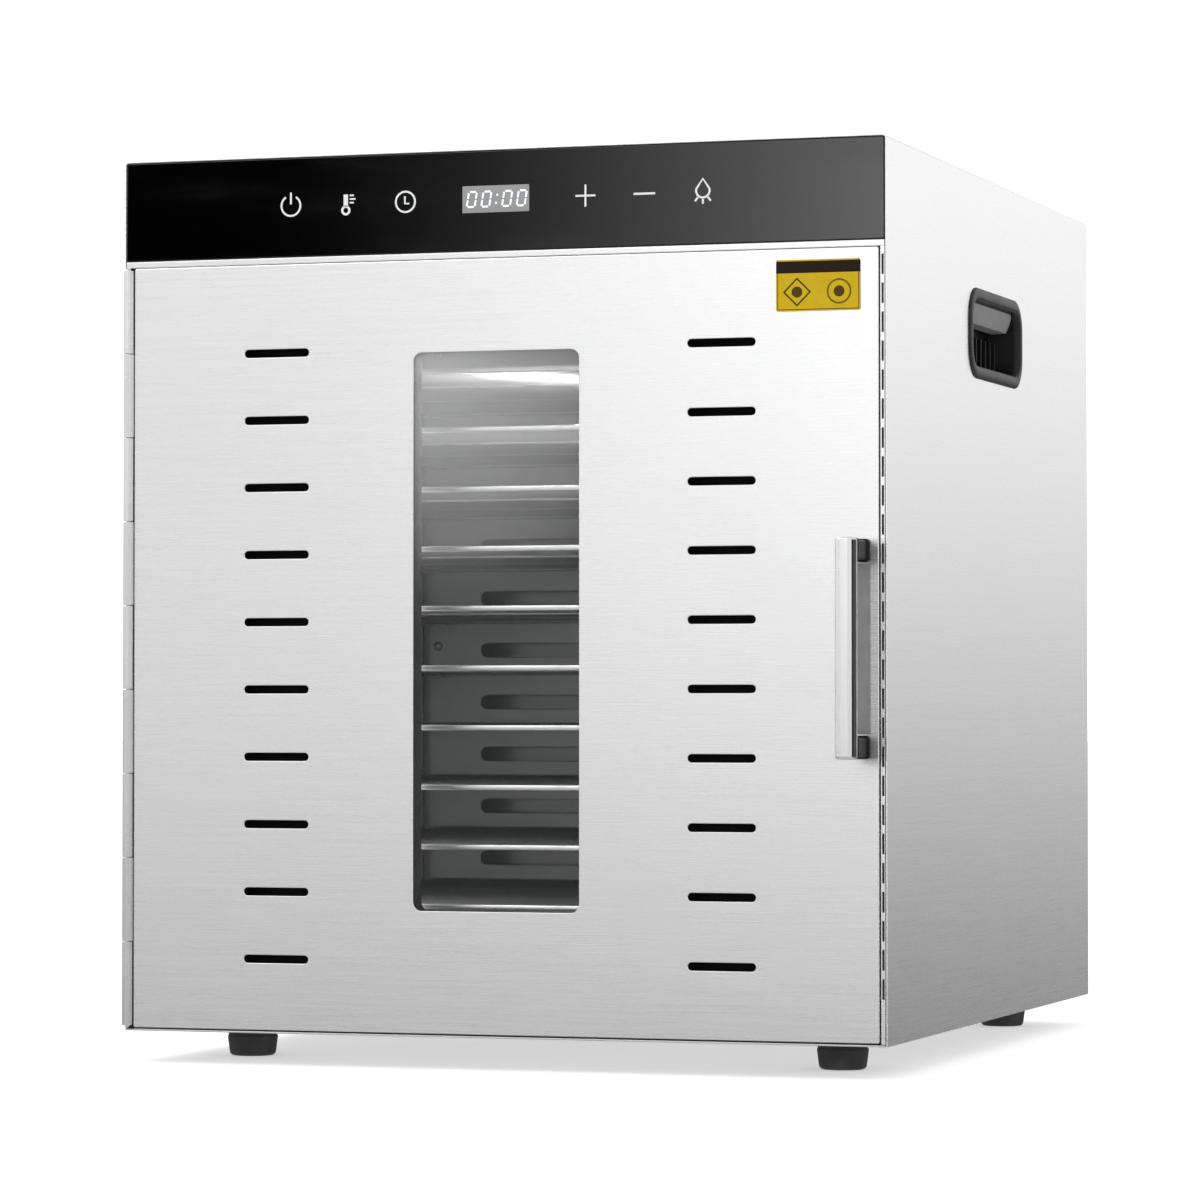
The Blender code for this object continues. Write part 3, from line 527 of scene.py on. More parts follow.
RECIPES = {
    "brushed_panel": (brushed, (0.87, 0.87, 0.875), 0.28, "Z"),
    "inner_sheet": (mill_sheet, (0.66, 0.66, 0.665), 0.36),
    "hinge_steel": (mill_sheet, (0.70, 0.70, 0.70), 0.30),
    "handle_steel": (brushed, (0.80, 0.80, 0.805), 0.26, "X", 10.0),
    "tray_steel": (bright_wire,),
    "black_glass": (black_glass,),
    "clear_glass": (clear_glass,),
    "black_moulding": (moulded, (0.006, 0.006, 0.0065), 0.36),
    "foot_rubber": (rubber, (0.016, 0.016, 0.016)),
    "seal_rubber": (rubber, (0.030, 0.030, 0.030)),
    "circuit_board": (circuit_board,),
    "lamp_ceramic": (glazed_ceramic,),
    "lamp_glass": (lamp_glass,),
    "heater_sheath": (heater_sheath,),
    "motor_case": (motor_case,),
    "fan_aluminium": (fan_aluminium,),
    "magnet_case": (moulded, (0.020, 0.020, 0.022), 0.5, 1800.0),
    "label_film": (label_film,),
    "printed_white": (printed_white, 0.10),
    "digit_white": (printed_white, 0.55),
    "black_felt": (black_felt,),
    "display_grey": (display_grey,),
    "contact_brass": (contact_brass,),
    "soft_grey": (soft_grey,),
}
FINISHES = {name: maker(name, *values) for name, (maker, *values) in RECIPES.items()}


# Outlines and solids

class Outline:
    """A rounded rectangle on a plane. With full corners it is a slot or a circle."""

    def __init__(self, u, v, width, height, radius):
        self.u, self.v, self.width, self.height, self.radius = u, v, width, height, radius

    def loop(self, grow=0.0, steps=8):
        """Its points, with its edge moved outwards."""
        half_u = self.width / 2 + grow
        half_v = self.height / 2 + grow
        radius = min(max(self.radius + grow, 0.00002), half_u - 1e-6, half_v - 1e-6)
        points = []
        for side, rise, start in ((1, -1, -90), (1, 1, 0), (-1, 1, 90), (-1, -1, 180)):
            for step in range(steps + 1):
                angle = math.radians(start + 90 * step / steps)
                points.append((self.u + side * (half_u - radius) + radius * math.cos(angle),
                               self.v + rise * (half_v - radius) + radius * math.sin(angle)))
        return points


def spanning(left, right, bottom, top, radius):
    """An outline from its four sides."""
    return Outline((left + right) / 2, (bottom + top) / 2, right - left, top - bottom, radius)


def node_outline(node, radius, axis="Y"):
    """The outline of a CAD node's box, seen along an axis."""
    low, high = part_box(node)
    first, second = {"X": (1, 2), "Y": (0, 2), "Z": (0, 1)}[axis]
    return spanning(low[first], high[first], low[second], high[second], radius)


def round_hole(u, v, radius):
    return Outline(u, v, 2 * radius, 2 * radius, radius)


def lifted(point, axis, height):
    """A flat outline's point, at a height along an axis."""
    u, v = point
    return {"X": Vector((height, u, v)), "Y": Vector((u, height, v)), "Z": Vector((u, v, height))}[axis]


def add_loop(shape, points, axis, height):
    return [shape.verts.new(lifted(point, axis, height)) for point in points]


def bridge(shape, near, far):
    """Faces between two loops of the same length."""
    count = len(near)
    for i in range(count):
        j = (i + 1) % count
        shape.faces.new((near[i], near[j], far[j], far[i]))


def cover(shape, loops):
    """Flat faces inside the first loop and outside the others."""
    edges = []
    for loop in loops:
        for pair in zip(loop, loop[1:] + loop[:1]):
            edges.append(shape.edges.get(pair) or shape.edges.new(pair))
    bmesh.ops.triangle_fill(shape, use_beauty=True, edges=edges)


def add_sheet(shape, axis, face, depth, outer, holes=(), roll=0.0003, bend=None, flange=0.0, steps=8):
    """A sheet with rolled edges round its outline and openings, and perhaps a rim folded back by a
    flange. depth is signed, from the face that shows."""
    way = math.copysign(1.0, depth)
    thick = abs(depth)
    turns = 4

    def profile(radius, folded):
        angles = [math.pi / 2 * i / turns for i in range(turns + 1)]
        rings = [(-radius * (1 - math.sin(a)), radius * (1 - math.cos(a))) for a in angles]
        if folded:
            return rings + [(0.0, flange), (-thick, flange), (-thick, thick)]
        back = min(radius, thick / 2.2)
        return rings + [(-back * (1 - math.cos(a)), thick - back * (1 - math.sin(a))) for a in angles]

    fronts, backs = [], []
    for outline, side in [(outer, 1)] + [(hole, -1) for hole in holes]:
        folded = side > 0 and flange > 0
        radius = bend if folded else min(roll, thick / 2.2)
        loops = [add_loop(shape, outline.loop(side * grow, steps), axis, face + way * deep)
                 for grow, deep in profile(radius, folded)]
        for near, far in zip(loops, loops[1:]):
            bridge(shape, near, far)
        fronts.append(loops[0])
        backs.append(loops[-1])
    cover(shape, fronts)
    cover(shape, backs)


def add_rings(shape, sections, closed=True):
    """A skin over loops of points, with its ends closed."""
    loops = [[shape.verts.new(point) for point in section] for section in sections]
    for near, far in zip(loops, loops[1:]):
        bridge(shape, near, far)
    if closed:
        shape.faces.new(loops[0])
        shape.faces.new(loops[-1])


def add_turned(shape, axis, centre, profile, count=64):
    """A round solid from (height, radius) pairs along an axis."""
    circles = [[lifted(point, axis, height) for point in round_hole(*centre, radius).loop(0.0, count // 4)]
               for height, radius in profile]
    add_rings(shape, circles)


def add_tube(shape, points, radius, sides):
    """A round bar along a line of points, with flat ends."""
    sections = []
    side = None
    for i, point in enumerate(points):
        ahead = points[min(i + 1, len(points) - 1)] - points[max(i - 1, 0)]
        ahead.normalize()
        if side is None:
            side = ahead.orthogonal().normalized()
        side = (side - ahead * side.dot(ahead)).normalized()
        up = ahead.cross(side)
        sections.append([point + (side * math.cos(a) + up * math.sin(a)) * radius
                         for a in (2 * math.pi * k / sides for k in range(sides))])
    add_rings(shape, sections)


def add_screw(shape, middle, outward, radius):
    """Pan-head screw with a cross recess, standing on its middle point."""
    spin = outward.to_track_quat("Z", "Y").to_matrix()
    angles = [2 * math.pi * k / 32 for k in range(32)]
    sections = []
    for height, share in ((0.0, 1.0), (0.22, 1.0), (0.38, 0.93), (0.50, 0.78), (0.56, 0.58)):
        sections.append([Vector((share * math.cos(a), share * math.sin(a), height)) for a in angles])
    arm, half = 0.50, 0.11
    for height, size in ((0.565, 1.0), (0.20, 0.75)):
        ring = []
        for a in angles:
            least, widest = sorted((abs(math.cos(a)), abs(math.sin(a))))
            reach = min(arm / widest, half / max(least, 1e-4)) * size
            ring.append(Vector((reach * math.cos(a), reach * math.sin(a), height)))
        sections.append(ring)
    add_rings(shape, [[middle + spin @ (point * radius) for point in ring] for ring in sections])


def finished(name, shape, finish, body="cabinet", replaces=(), sharp=50.0, weighted=True):
    """Make a shape into a piece that rides on a body and stands for CAD nodes."""
    bmesh.ops.recalc_face_normals(shape, faces=shape.faces)
    mesh = bpy.data.meshes.new(name)
    shape.to_mesh(mesh)
    shape.free()
    mesh.materials.append(FINISHES[finish].material)
    mesh.shade_smooth()
    mesh.set_sharp_from_angle(angle=math.radians(sharp))
    piece = bpy.data.objects.new(name, mesh)
    bpy.context.collection.objects.link(piece)
    if weighted:
        even = piece.modifiers.new("even_shading", "WEIGHTED_NORMAL")
        even.keep_sharp = True
    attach(piece, body)
    if replaces:
        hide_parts(*replaces)
    return piece


def eased(node, finish, edge=0.0003, sharp=28.0):
    """A copy of a CAD node with its edges eased, standing for it."""
    source = frame["nodes"][node]
    shape = bmesh.new()
    shape.from_mesh(source.data)
    bmesh.ops.remove_doubles(shape, verts=shape.verts, dist=WELD_DISTANCE)
    bmesh.ops.dissolve_limit(shape, angle_limit=math.radians(1), verts=shape.verts, edges=shape.edges)
    corners = [e for e in shape.edges
               if len(e.link_faces) == 2 and e.calc_face_angle() > math.radians(sharp)]
    bmesh.ops.bevel(shape, geom=corners, offset=edge, segments=3, profile=0.5, affect="EDGES",
                    clamp_overlap=True)
    bmesh.ops.triangulate(shape, faces=[f for f in shape.faces if len(f.verts) > 4])
    return finished(node + "_eased", shape, finish, source["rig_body"], (node,), 40.0)


def sheet(name, finish, across, outline, holes=(), roll=0.0003, body="cabinet", replaces=(), axis="Y",
          steps=8):
    """A piece that is one sheet. across is where its face is, and its signed depth."""
    shape = bmesh.new()
    add_sheet(shape, axis, *across, outline, holes, roll, steps=steps)
    finished(name, shape, finish, body, replaces)


def pressed(name, node, finish, radius, holes=(), roll=0.0003, rear=False):
    """A flat CAD node remade as a sheet. rear is for one whose back is the face that shows."""
    low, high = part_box(node)
    across = (high.y, low.y - high.y) if rear else (low.y, high.y - low.y)
    body = frame["nodes"][node]["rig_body"]
    sheet(name, finish, across, node_outline(node, radius), holes, roll, body, (node,))


def screws(name, places, outward, body="cabinet", replaces=()):
    """Screw heads, each from its place and its radius."""
    shape = bmesh.new()
    for place, radius in places:
        add_screw(shape, Vector(place), Vector(outward), radius)
    finished(name, shape, "hinge_steel", body, replaces, weighted=False)


# Cabinet

def make_cabinet_sheets():
    """Wrapper, base, racks, motor bracket and hinge leaves, with their edges eased."""
    eased("outer_shell", "brushed_panel", 0.0003, 35.0)
    eased("base_pan", "inner_sheet", 0.0003)
    eased("tray_rack_left", "inner_sheet", 0.0002)
    eased("tray_rack_right", "inner_sheet", 0.0002)
    eased("motor_bracket", "inner_sheet", 0.0004)
    eased("hinge_cabinet_leaf", "hinge_steel", 0.00015)
    eased("hinge_door_leaf", "hinge_steel", 0.00015)


def make_panel_rail():
    """Rail under the glass, with its front edges rolled. Its foot comes down close to the door."""
    low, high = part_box("panel_rail")
    rail = spanning(low.x, high.x, low.z - 0.0003, high.z, 0.0003)
    sheet("rail_under_glass", "brushed_panel", (low.y, high.y - low.y), rail, (), 0.0004,
          replaces=("panel_rail",), steps=3)


def make_sealing_frame():
    """Flat frame that the door closes on, and the slit trim beside the door with a dark sheet at its back
    that is painted shade, so the slits read dark.
    """
    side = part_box("liner_right_wall")[0].x
    mouth = spanning(-side, side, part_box("liner_floor")[1].z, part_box("liner_ceiling")[0].z, 0.001)
    pressed("sealing_frame", "front_frame", "brushed_panel", 0.0008, [mouth])

    low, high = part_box("edge_trim")
    left = low.x + 0.0004
    middle = (left + high.x) / 2
    cells = []
    for number in range(SLIT_COUNT):
        z = TOP_Z - FIRST_SLIT_DROP - number * SLIT_PITCH
        slit = Outline(middle + 0.0001, z, SLIT_WIDTH, SLIT_LENGTH, 0.0003)
        cells.append((z + SLIT_PITCH / 2, z - SLIT_PITCH / 2, [slit]))
    cells.insert(0, (high.z, cells[0][0], []))
    cells.append((cells[-1][1], low.z, []))
    shape = bmesh.new()
    for top, bottom, slits in cells:
        cell = spanning(left, high.x, bottom, top, 0.0001)
        add_sheet(shape, "Y", low.y, high.y - low.y, cell, slits, 0.00005, steps=2)
    finished("slit_trim", shape, "brushed_panel", replaces=("edge_trim",))
    # Painted shade: a dark rubber sheet at the back of the trim stands in for the shade of the gap seen
    # through the slits.
    behind = spanning(left + 0.0002, high.x - 0.0002, low.z + 0.001, high.z - 0.001, 0.0005)
    sheet("trim_shade_backing", "seal_rubber", (high.y + 0.0012, 0.0012), behind, steps=3)


def vent_outlines():
    radius = VENT_HEIGHT / 2 - 0.0001
    return [Outline(side * VENT_COLUMN_X, FAN_Z + row * VENT_PITCH, VENT_LENGTH, VENT_HEIGHT, radius)
            for side in (-1, 1) for row in range(-4, 5)]


def make_rear():
    """Rear sheet, slotted cover over the fan's intake, and their screws."""
    low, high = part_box("back_panel")
    inlet = node_outline("power_inlet", 0.0)
    openings = vent_outlines() + [Outline(inlet.u, inlet.v, 0.0280, 0.0204, 0.0012)]
    pressed("rear_sheet", "back_panel", "brushed_panel", 0.0012, openings, rear=True)
    pressed("intake_cover", "rear_vent_cover", "inner_sheet", 0.010, vent_outlines(), 0.0006, rear=True)

    reach = (COVER_HIGH.x - COVER_LOW.x) / 2 - 0.010
    margin = 0.012
    cover_screw, panel_screw, inlet_screw = 0.0032, 0.0034, 0.0026
    places = [((side * reach, COVER_HIGH.y, FAN_Z + rise * reach), cover_screw)
              for side in (-1, 1) for rise in (-1, 1)]
    for side in (-1, 1):
        for share in (0.0, 0.33, 0.67, 1.0):
            z = low.z + margin + (high.z - low.z - 2 * margin) * share
            places.append(((side * (high.x - margin), high.y, z), panel_screw))
    places += [((x, high.y, high.z - margin), panel_screw) for x in (-0.07, 0.07)]
    inlet_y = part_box("power_inlet")[1].y - 0.0002
    places += [((inlet.u + side * 0.0195, inlet_y, inlet.v), inlet_screw) for side in (-1, 1)]
    screws("rear_screws", places, (0, 1, 0))


def make_power_inlet():
    """Inlet with eased edges, and its metal contact pins."""
    eased("power_inlet", "black_moulding", 0.0004)
    inlet = node_outline("power_inlet", 0.0)
    shape = bmesh.new()
    for x, z in ((-0.007, -0.002), (0.007, -0.002), (0.0, 0.003)):
        blade = Outline(inlet.u + x, inlet.v + z, 0.0023, 0.0043, 0.0004)
        add_sheet(shape, "Y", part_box("power_inlet")[1].y - 0.0083, -0.0095, blade, (), 0.0006)
    finished("inlet_pins", shape, "contact_brass")


def make_feet():
    """Rubber feet: domed tread, a groove under the collar, and a screw let into each."""
    for name in ("foot_front_left", "foot_front_right", "foot_rear_left", "foot_rear_right"):
        low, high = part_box(name)
        centre = ((low.x + high.x) / 2, (low.y + high.y) / 2)
        wide = (high.x - low.x) / 2
        tall = high.z - low.z
        profile = [(0.0060, 0.0034), (0.0060, 0.0050), (0.0004, 0.0054), (0.0, 0.0062), (0.0, 0.0112),
                   (0.0003, 0.0120), (0.0012, 0.0129), (0.0030, 0.0133), (tall * 0.62, 0.0143),
                   (tall * 0.65, 0.0138), (tall * 0.70, 0.0138), (tall * 0.73, wide - 0.0002),
                   (tall - 0.0008, wide), (tall - 0.0002, wide - 0.0004), (tall, wide - 0.0010)]
        shape = bmesh.new()
        add_turned(shape, "Z", centre, profile)
        finished(name + "_rubber", shape, "foot_rubber", replaces=(name,))
        screws(name + "_screw", [((*centre, 0.0059), 0.0033)], (0, 0, -1))


def make_side_grip(name, side):
    """Carrying grip: rolled lip, tapering cup, ribs on its floor, and a sloping grey pad for the fingers."""
    inner, outer = sorted(abs(corner.x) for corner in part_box(name))
    lip = node_outline(name, 0.0, "X")
    rim = Outline(lip.u, lip.v, lip.width - 0.004, lip.height - 0.004, 0.0140)
    rows = [
        (inner + 0.0015, -0.0074), (inner + 0.0030, -0.0066), (outer - 0.0040, -0.0038),
        (outer - 0.0014, -0.0033), (outer - 0.0004, -0.0026), (outer, -0.0012), (outer, 0.0008),
        (outer - 0.0002, 0.0022), (outer - 0.0006, 0.0034), (outer - 0.0012, 0.0040),
        (outer - 0.0013, -0.0008), (inner, -0.0040),
    ]
    shape = bmesh.new()
    add_rings(shape, [[lifted(point, "X", side * x) for point in rim.loop(grow, 10)] for x, grow in rows])
    ribs = 9
    floor = inner + 0.0010
    for number in range(ribs):
        y = rim.u + (number - (ribs - 1) / 2) * 0.0115
        blade = Outline(y, rim.v - 0.0085, 0.0016, 0.0190, 0.0007)
        add_sheet(shape, "X", side * (floor + 0.0068), -side * 0.0068, blade, (), 0.0005, steps=3)
    finished(name + "_cup", shape, "black_moulding", "cabinet", (name,), 40.0)
    shape = bmesh.new()
    sections = []
    for depth, grow, drop in ((0.0042, -0.0044, 0.0180), (0.0047, -0.0046, 0.0162),
                              (0.0085, -0.0054, 0.0074), (0.0165, -0.0072, 0.0068)):
        sections.append([lifted((u, max(v, rim.v + drop)), "X", side * (outer - depth))
                         for u, v in rim.loop(grow, 10)])
    add_rings(shape, sections)
    finished(name + "_pad", shape, "soft_grey", sharp=30.0)


# Controls

def ribbon(shape, points, width, face, closed=False):
    """A flat printed line along (x, z) points, just proud of the glass."""
    count = len(points)
    left, right = [], []
    for i, (x, z) in enumerate(points):
        before = points[(i - 1) % count] if closed or i > 0 else points[i]
        after = points[(i + 1) % count] if closed or i < count - 1 else points[i]
        run = Vector((after[0] - before[0], after[1] - before[1])).normalized()
        normal = Vector((-run.y, run.x)) * width / 2
        left.append((x + normal.x, z + normal.y))
        right.append((x - normal.x, z - normal.y))
    for i in range(count if closed else count - 1):
        j = (i + 1) % count
        corners = [left[i], left[j], right[j], right[i]]
        add_rings(shape, [[lifted(point, "Y", y) for point in corners]
                          for y in (face, face - PRINT_THICKNESS)])


def arc(centre, radius, start, end, count=40):
    """Points round a circle, in degrees from straight up, turning right."""
    angles = [math.radians(start + (end - start) * i / count) for i in range(count + 1)]
    return [(centre[0] + radius * math.sin(a), centre[1] + radius * math.cos(a)) for a in angles]


def add_digit_zero(shape, x, z, width, height, stroke, slant, face):
    """A seven-segment zero: six bars with a little space between them."""
    reach = width / 2 - stroke * 0.6
    half = height / 2
    bars = []
    for sign in (1, -1):
        bars.append(((-reach, sign * half), (reach, sign * half)))
        for side in (-width / 2, width / 2):
            bars.append(((side, sign * stroke * 0.38), (side, sign * (half - stroke * 0.5))))
    for bar in bars:
        ribbon(shape, [(x + u + v * slant, z + v) for u, v in bar], stroke, face)


def make_control_glass():
    """Black glass with its printed keys and the lit display window."""
    pressed("control_front", "control_glass", "black_glass", 0.0012, (), 0.0005)
    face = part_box("control_glass")[0].y
    key_z = TOP_Z - 0.0277
    stroke = KEY_STROKE

    shape = bmesh.new()
    power_x = -0.1200
    ribbon(shape, arc((power_x, key_z), 0.0056, 32, 328), stroke, face)
    ribbon(shape, [(power_x, key_z + 0.0008), (power_x, key_z + 0.0073)], stroke, face)

    heat_x = -0.0875
    bulb_z = key_z - 0.0036
    ribbon(shape, arc((heat_x, bulb_z), 0.0021, 0, 360)[:-1], 0.0013, face, closed=True)
    ribbon(shape, [(heat_x, bulb_z + 0.0020), (heat_x, key_z + 0.0052)], 0.0026, face)
    for rise, reach in ((0.0046, 0.0024), (0.0026, 0.0034), (0.0006, 0.0024)):
        start = heat_x + 0.0023
        ribbon(shape, [(start, key_z + rise), (start + reach, key_z + rise)], 0.0009, face)

    clock_x = -0.0525
    ribbon(shape, arc((clock_x, key_z), 0.0056, 0, 360)[:-1], stroke, face, closed=True)
    ribbon(shape, [(clock_x - 0.0003, key_z + 0.0031), (clock_x - 0.0003, key_z - 0.0010),
                   (clock_x + 0.0022, key_z - 0.0010)], 0.0010, face)

    plus_x = 0.0515
    ribbon(shape, [(plus_x - 0.0057, key_z), (plus_x + 0.0057, key_z)], stroke, face)
    ribbon(shape, [(plus_x, key_z - 0.0060), (plus_x, key_z - stroke / 2)], stroke, face)
    ribbon(shape, [(plus_x, key_z + stroke / 2), (plus_x, key_z + 0.0060)], stroke, face)
    minus_x = 0.0850
    ribbon(shape, [(minus_x - 0.0061, key_z), (minus_x + 0.0061, key_z)], stroke * 1.1, face)

    lamp_x = 0.1180
    drop = [(lamp_x, key_z + 0.0070)]
    drop += arc((lamp_x, key_z + 0.0006), 0.0038, 75, 285, 24)
    ribbon(shape, drop, 0.0011, face, closed=True)
    for lean in (-38, 0, 38):
        run = Vector((math.sin(math.radians(lean)), -math.cos(math.radians(lean))))
        start = Vector((lamp_x, key_z + 0.0006)) + run * 0.0046
        ribbon(shape, [tuple(start), tuple(start + run * 0.0026)], 0.0011, face)
    finished("key_symbols", shape, "printed_white", weighted=False)

    shape = bmesh.new()
    window = Outline(0.0, key_z, 0.0385, 0.0147, 0.0004)
    add_sheet(shape, "Y", face - 0.00005, 0.00005, window, (), 0.00002, steps=2)
    finished("display_window", shape, "display_grey", weighted=False)

    shape = bmesh.new()
    raised_face = face - PRINT_THICKNESS
    for x in (-0.0138, -0.0054, 0.0066, 0.0150):
        add_digit_zero(shape, x, key_z, 0.0046, 0.0082, 0.0010, 0.16, raised_face)
    for rise in (-0.0022, 0.0022):
        x = 0.0006 + rise * 0.16
        ribbon(shape, [(x - 0.0005, key_z + rise), (x + 0.0005, key_z + rise)], 0.0010, raised_face)
    finished("display_digits", shape, "digit_white", weighted=False)


# Chamber

def make_fan_baffle():
    """Slotted sheet in front of the fan, with round-ended slots and its fixing screws."""
    low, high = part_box("fan_baffle")
    slots = []
    for number in range(1, TRAY_COUNT + 1):
        tray_low, tray_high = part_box(tray_name(number))
        middle = (tray_low.z + tray_high.z) / 2
        slots += [Outline(side * BAFFLE_SLOT_X, middle + 0.0145, *BAFFLE_SLOT, 0.0042) for side in (-1, 1)]
    pressed("slotted_baffle", "fan_baffle", "inner_sheet", 0.001, slots)
    places = [((side * 0.189, low.y, z), 0.0030)
              for side in (-1, 1) for z in (low.z + 0.012, (low.z + high.z) / 2, high.z - 0.010)]
    screws("baffle_screws", places, (0, -1, 0))


def make_lamp():
    """Ceramic holder and fluted lens under the ceiling, and the probe behind them."""
    low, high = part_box("lamp_holder")
    centre = ((low.x + high.x) / 2, (low.y + high.y) / 2)
    wide = (high.x - low.x) / 2
    shape = bmesh.new()
    profile = [(high.z, wide), (low.z + 0.0040, wide), (low.z + 0.0032, wide - 0.0006),
               (low.z + 0.0010, wide - 0.0024), (low.z, wide - 0.0040)]
    add_turned(shape, "Z", centre, profile)
    finished("lamp_collar", shape, "lamp_ceramic", replaces=("lamp_holder",))

    low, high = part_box("lamp_lens")
    wide = (high.x - low.x) / 2
    tall = high.z - low.z
    flutes = 24
    sections = []
    for step in range(13):
        drop = step / 12
        radius = wide * math.sqrt(max(1 - drop ** 2.4, 0.0)) + 0.0004
        ring = []
        for k in range(flutes * 4):
            angle = 2 * math.pi * k / (flutes * 4)
            fluted = min(radius, wide) * (1 - 0.03 * (1 - drop) * (k % 4 == 2))
            ring.append((centre[0] + fluted * math.cos(angle), centre[1] + fluted * math.sin(angle),
                         high.z - tall * drop))
        sections.append(ring)
    shape = bmesh.new()
    add_rings(shape, sections)
    finished("lamp_bowl", shape, "lamp_glass", replaces=("lamp_lens",))
    eased("temperature_probe", "inner_sheet", 0.0002, 50.0)


def make_heater():
    """Sheathed heater: an open ring round the fan, with its ends turned to the back."""
    low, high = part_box("heater_element")
    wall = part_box("liner_back")[0].y
    radius = 0.0035
    ring_y = low.y + radius
    ring = (high.x - low.x) / 2 - radius
    opening = math.radians(24)
    count = 96
    points = []
    for step in range(count + 1):
        angle = opening + (2 * math.pi - 2 * opening) * step / count
        points.append(Vector((ring * math.sin(angle), ring_y, FAN_Z - ring * math.cos(angle))))
    ends = []
    for point in (points[0], points[-1]):
        ends.append([point + Vector((0, wall - 0.0022 - ring_y, 0)), point + Vector((0, 0.005, 0))])
    line = ends[0] + points[1:-1] + ends[1][::-1]
    shape = bmesh.new()
    add_tube(shape, line, radius * 0.98, 16)
    for end in ends:
        collar = [(wall - 0.0025, 0.0052), (wall - 0.0055, 0.0052), (wall - 0.0060, 0.0046)]
        add_turned(shape, "Y", (end[0].x, end[0].z), collar, 24)
    finished("heater_ring", shape, "heater_sheath", replaces=("heater_element",))


def make_motor():
    """Motor can with rolled ends, a groove round its front and a bore for the shaft."""
    low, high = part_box("fan_motor")
    wide = (high.x - low.x) / 2
    front = low.y
    profile = [(front + 0.0177, 0.0034), (front + 0.0002, 0.0034), (front, 0.0040), (front, 0.0320),
               (front + 0.0006, 0.0345), (front + 0.0022, wide), (front + 0.0080, wide),
               (front + 0.0084, wide - 0.0012), (front + 0.0176, wide - 0.0012), (front + 0.0180, wide),
               (high.y - 0.0022, wide), (high.y - 0.0006, 0.0345), (high.y, 0.0320)]
    shape = bmesh.new()
    add_turned(shape, "Y", (0.0, FAN_Z), profile)
    finished("motor_can", shape, "motor_case", replaces=("fan_motor",))


def make_fan():
    """Six cupped and twisted blades on a domed hub."""
    low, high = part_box("fan_blades")
    middle = (low.y + high.y) / 2
    tip = (high.z - low.z) / 2
    half = (high.y - low.y) / 2
    shape = bmesh.new()
    hub = [(middle + half, 0.0034), (middle + half, 0.0155), (middle + half - 0.0008, 0.0160),
           (middle - half + 0.0030, 0.0160), (middle - half + 0.0008, 0.0140), (middle - half, 0.0100),
           (middle - half, 0.0034)]
    rings = [[lifted(point, "Y", y) for point in round_hole(0.0, FAN_Z, r).loop(0.0, 12)] for y, r in hub]
    add_rings(shape, rings + [rings[0]], closed=False)
    bmesh.ops.remove_doubles(shape, verts=shape.verts, dist=WELD_DISTANCE)
    rows, across = 10, 6
    for number in range(BLADE_COUNT):
        turn = 2 * math.pi * number / BLADE_COUNT
        front, back = [], []
        for i in range(rows + 1):
            share = i / rows
            radius = 0.0145 + (tip - 0.0150) * share
            chord = 0.012 + 0.030 * share ** 0.8
            pitch = math.radians(26 - 8 * share)
            for j in range(across + 1):
                u = (j / across - 0.5) * chord
                camber = 0.0016 * (1 - (2 * j / across - 1) ** 2)
                y = -u * math.sin(pitch) + camber
                along = u * math.cos(pitch) + 0.006 * share ** 2
                rim = radius - 0.004 * share * (2 * j / across - 1) ** 2
                x = rim * math.cos(turn) - along * math.sin(turn)
                z = rim * math.sin(turn) + along * math.cos(turn)
                limit = half - 0.0008
                y = max(-limit, min(limit, y))
                front.append(shape.verts.new((x, middle + y - 0.0005, FAN_Z + z)))
                back.append(shape.verts.new((x, middle + y + 0.0005, FAN_Z + z)))
        stride = across + 1
        for i in range(rows):
            for j in range(across):
                a = i * stride + j
                quad = (a, a + 1, a + 1 + stride, a + stride)
                shape.faces.new([front[k] for k in quad])
                shape.faces.new([back[k] for k in reversed(quad)])
        border = list(range(across))
        border += [i * stride + across for i in range(rows)]
        border += [rows * stride + j for j in range(across, 0, -1)]
        border += [i * stride for i in range(rows, 0, -1)]
        for a, b in zip(border, border[1:] + border[:1]):
            shape.faces.new((front[a], back[a], back[b], front[b]))
    finished("fan_impeller", shape, "fan_aluminium", "fan", ("fan_blades",), 40.0)


def tray_name(number):
    return "tray_%02d" % number


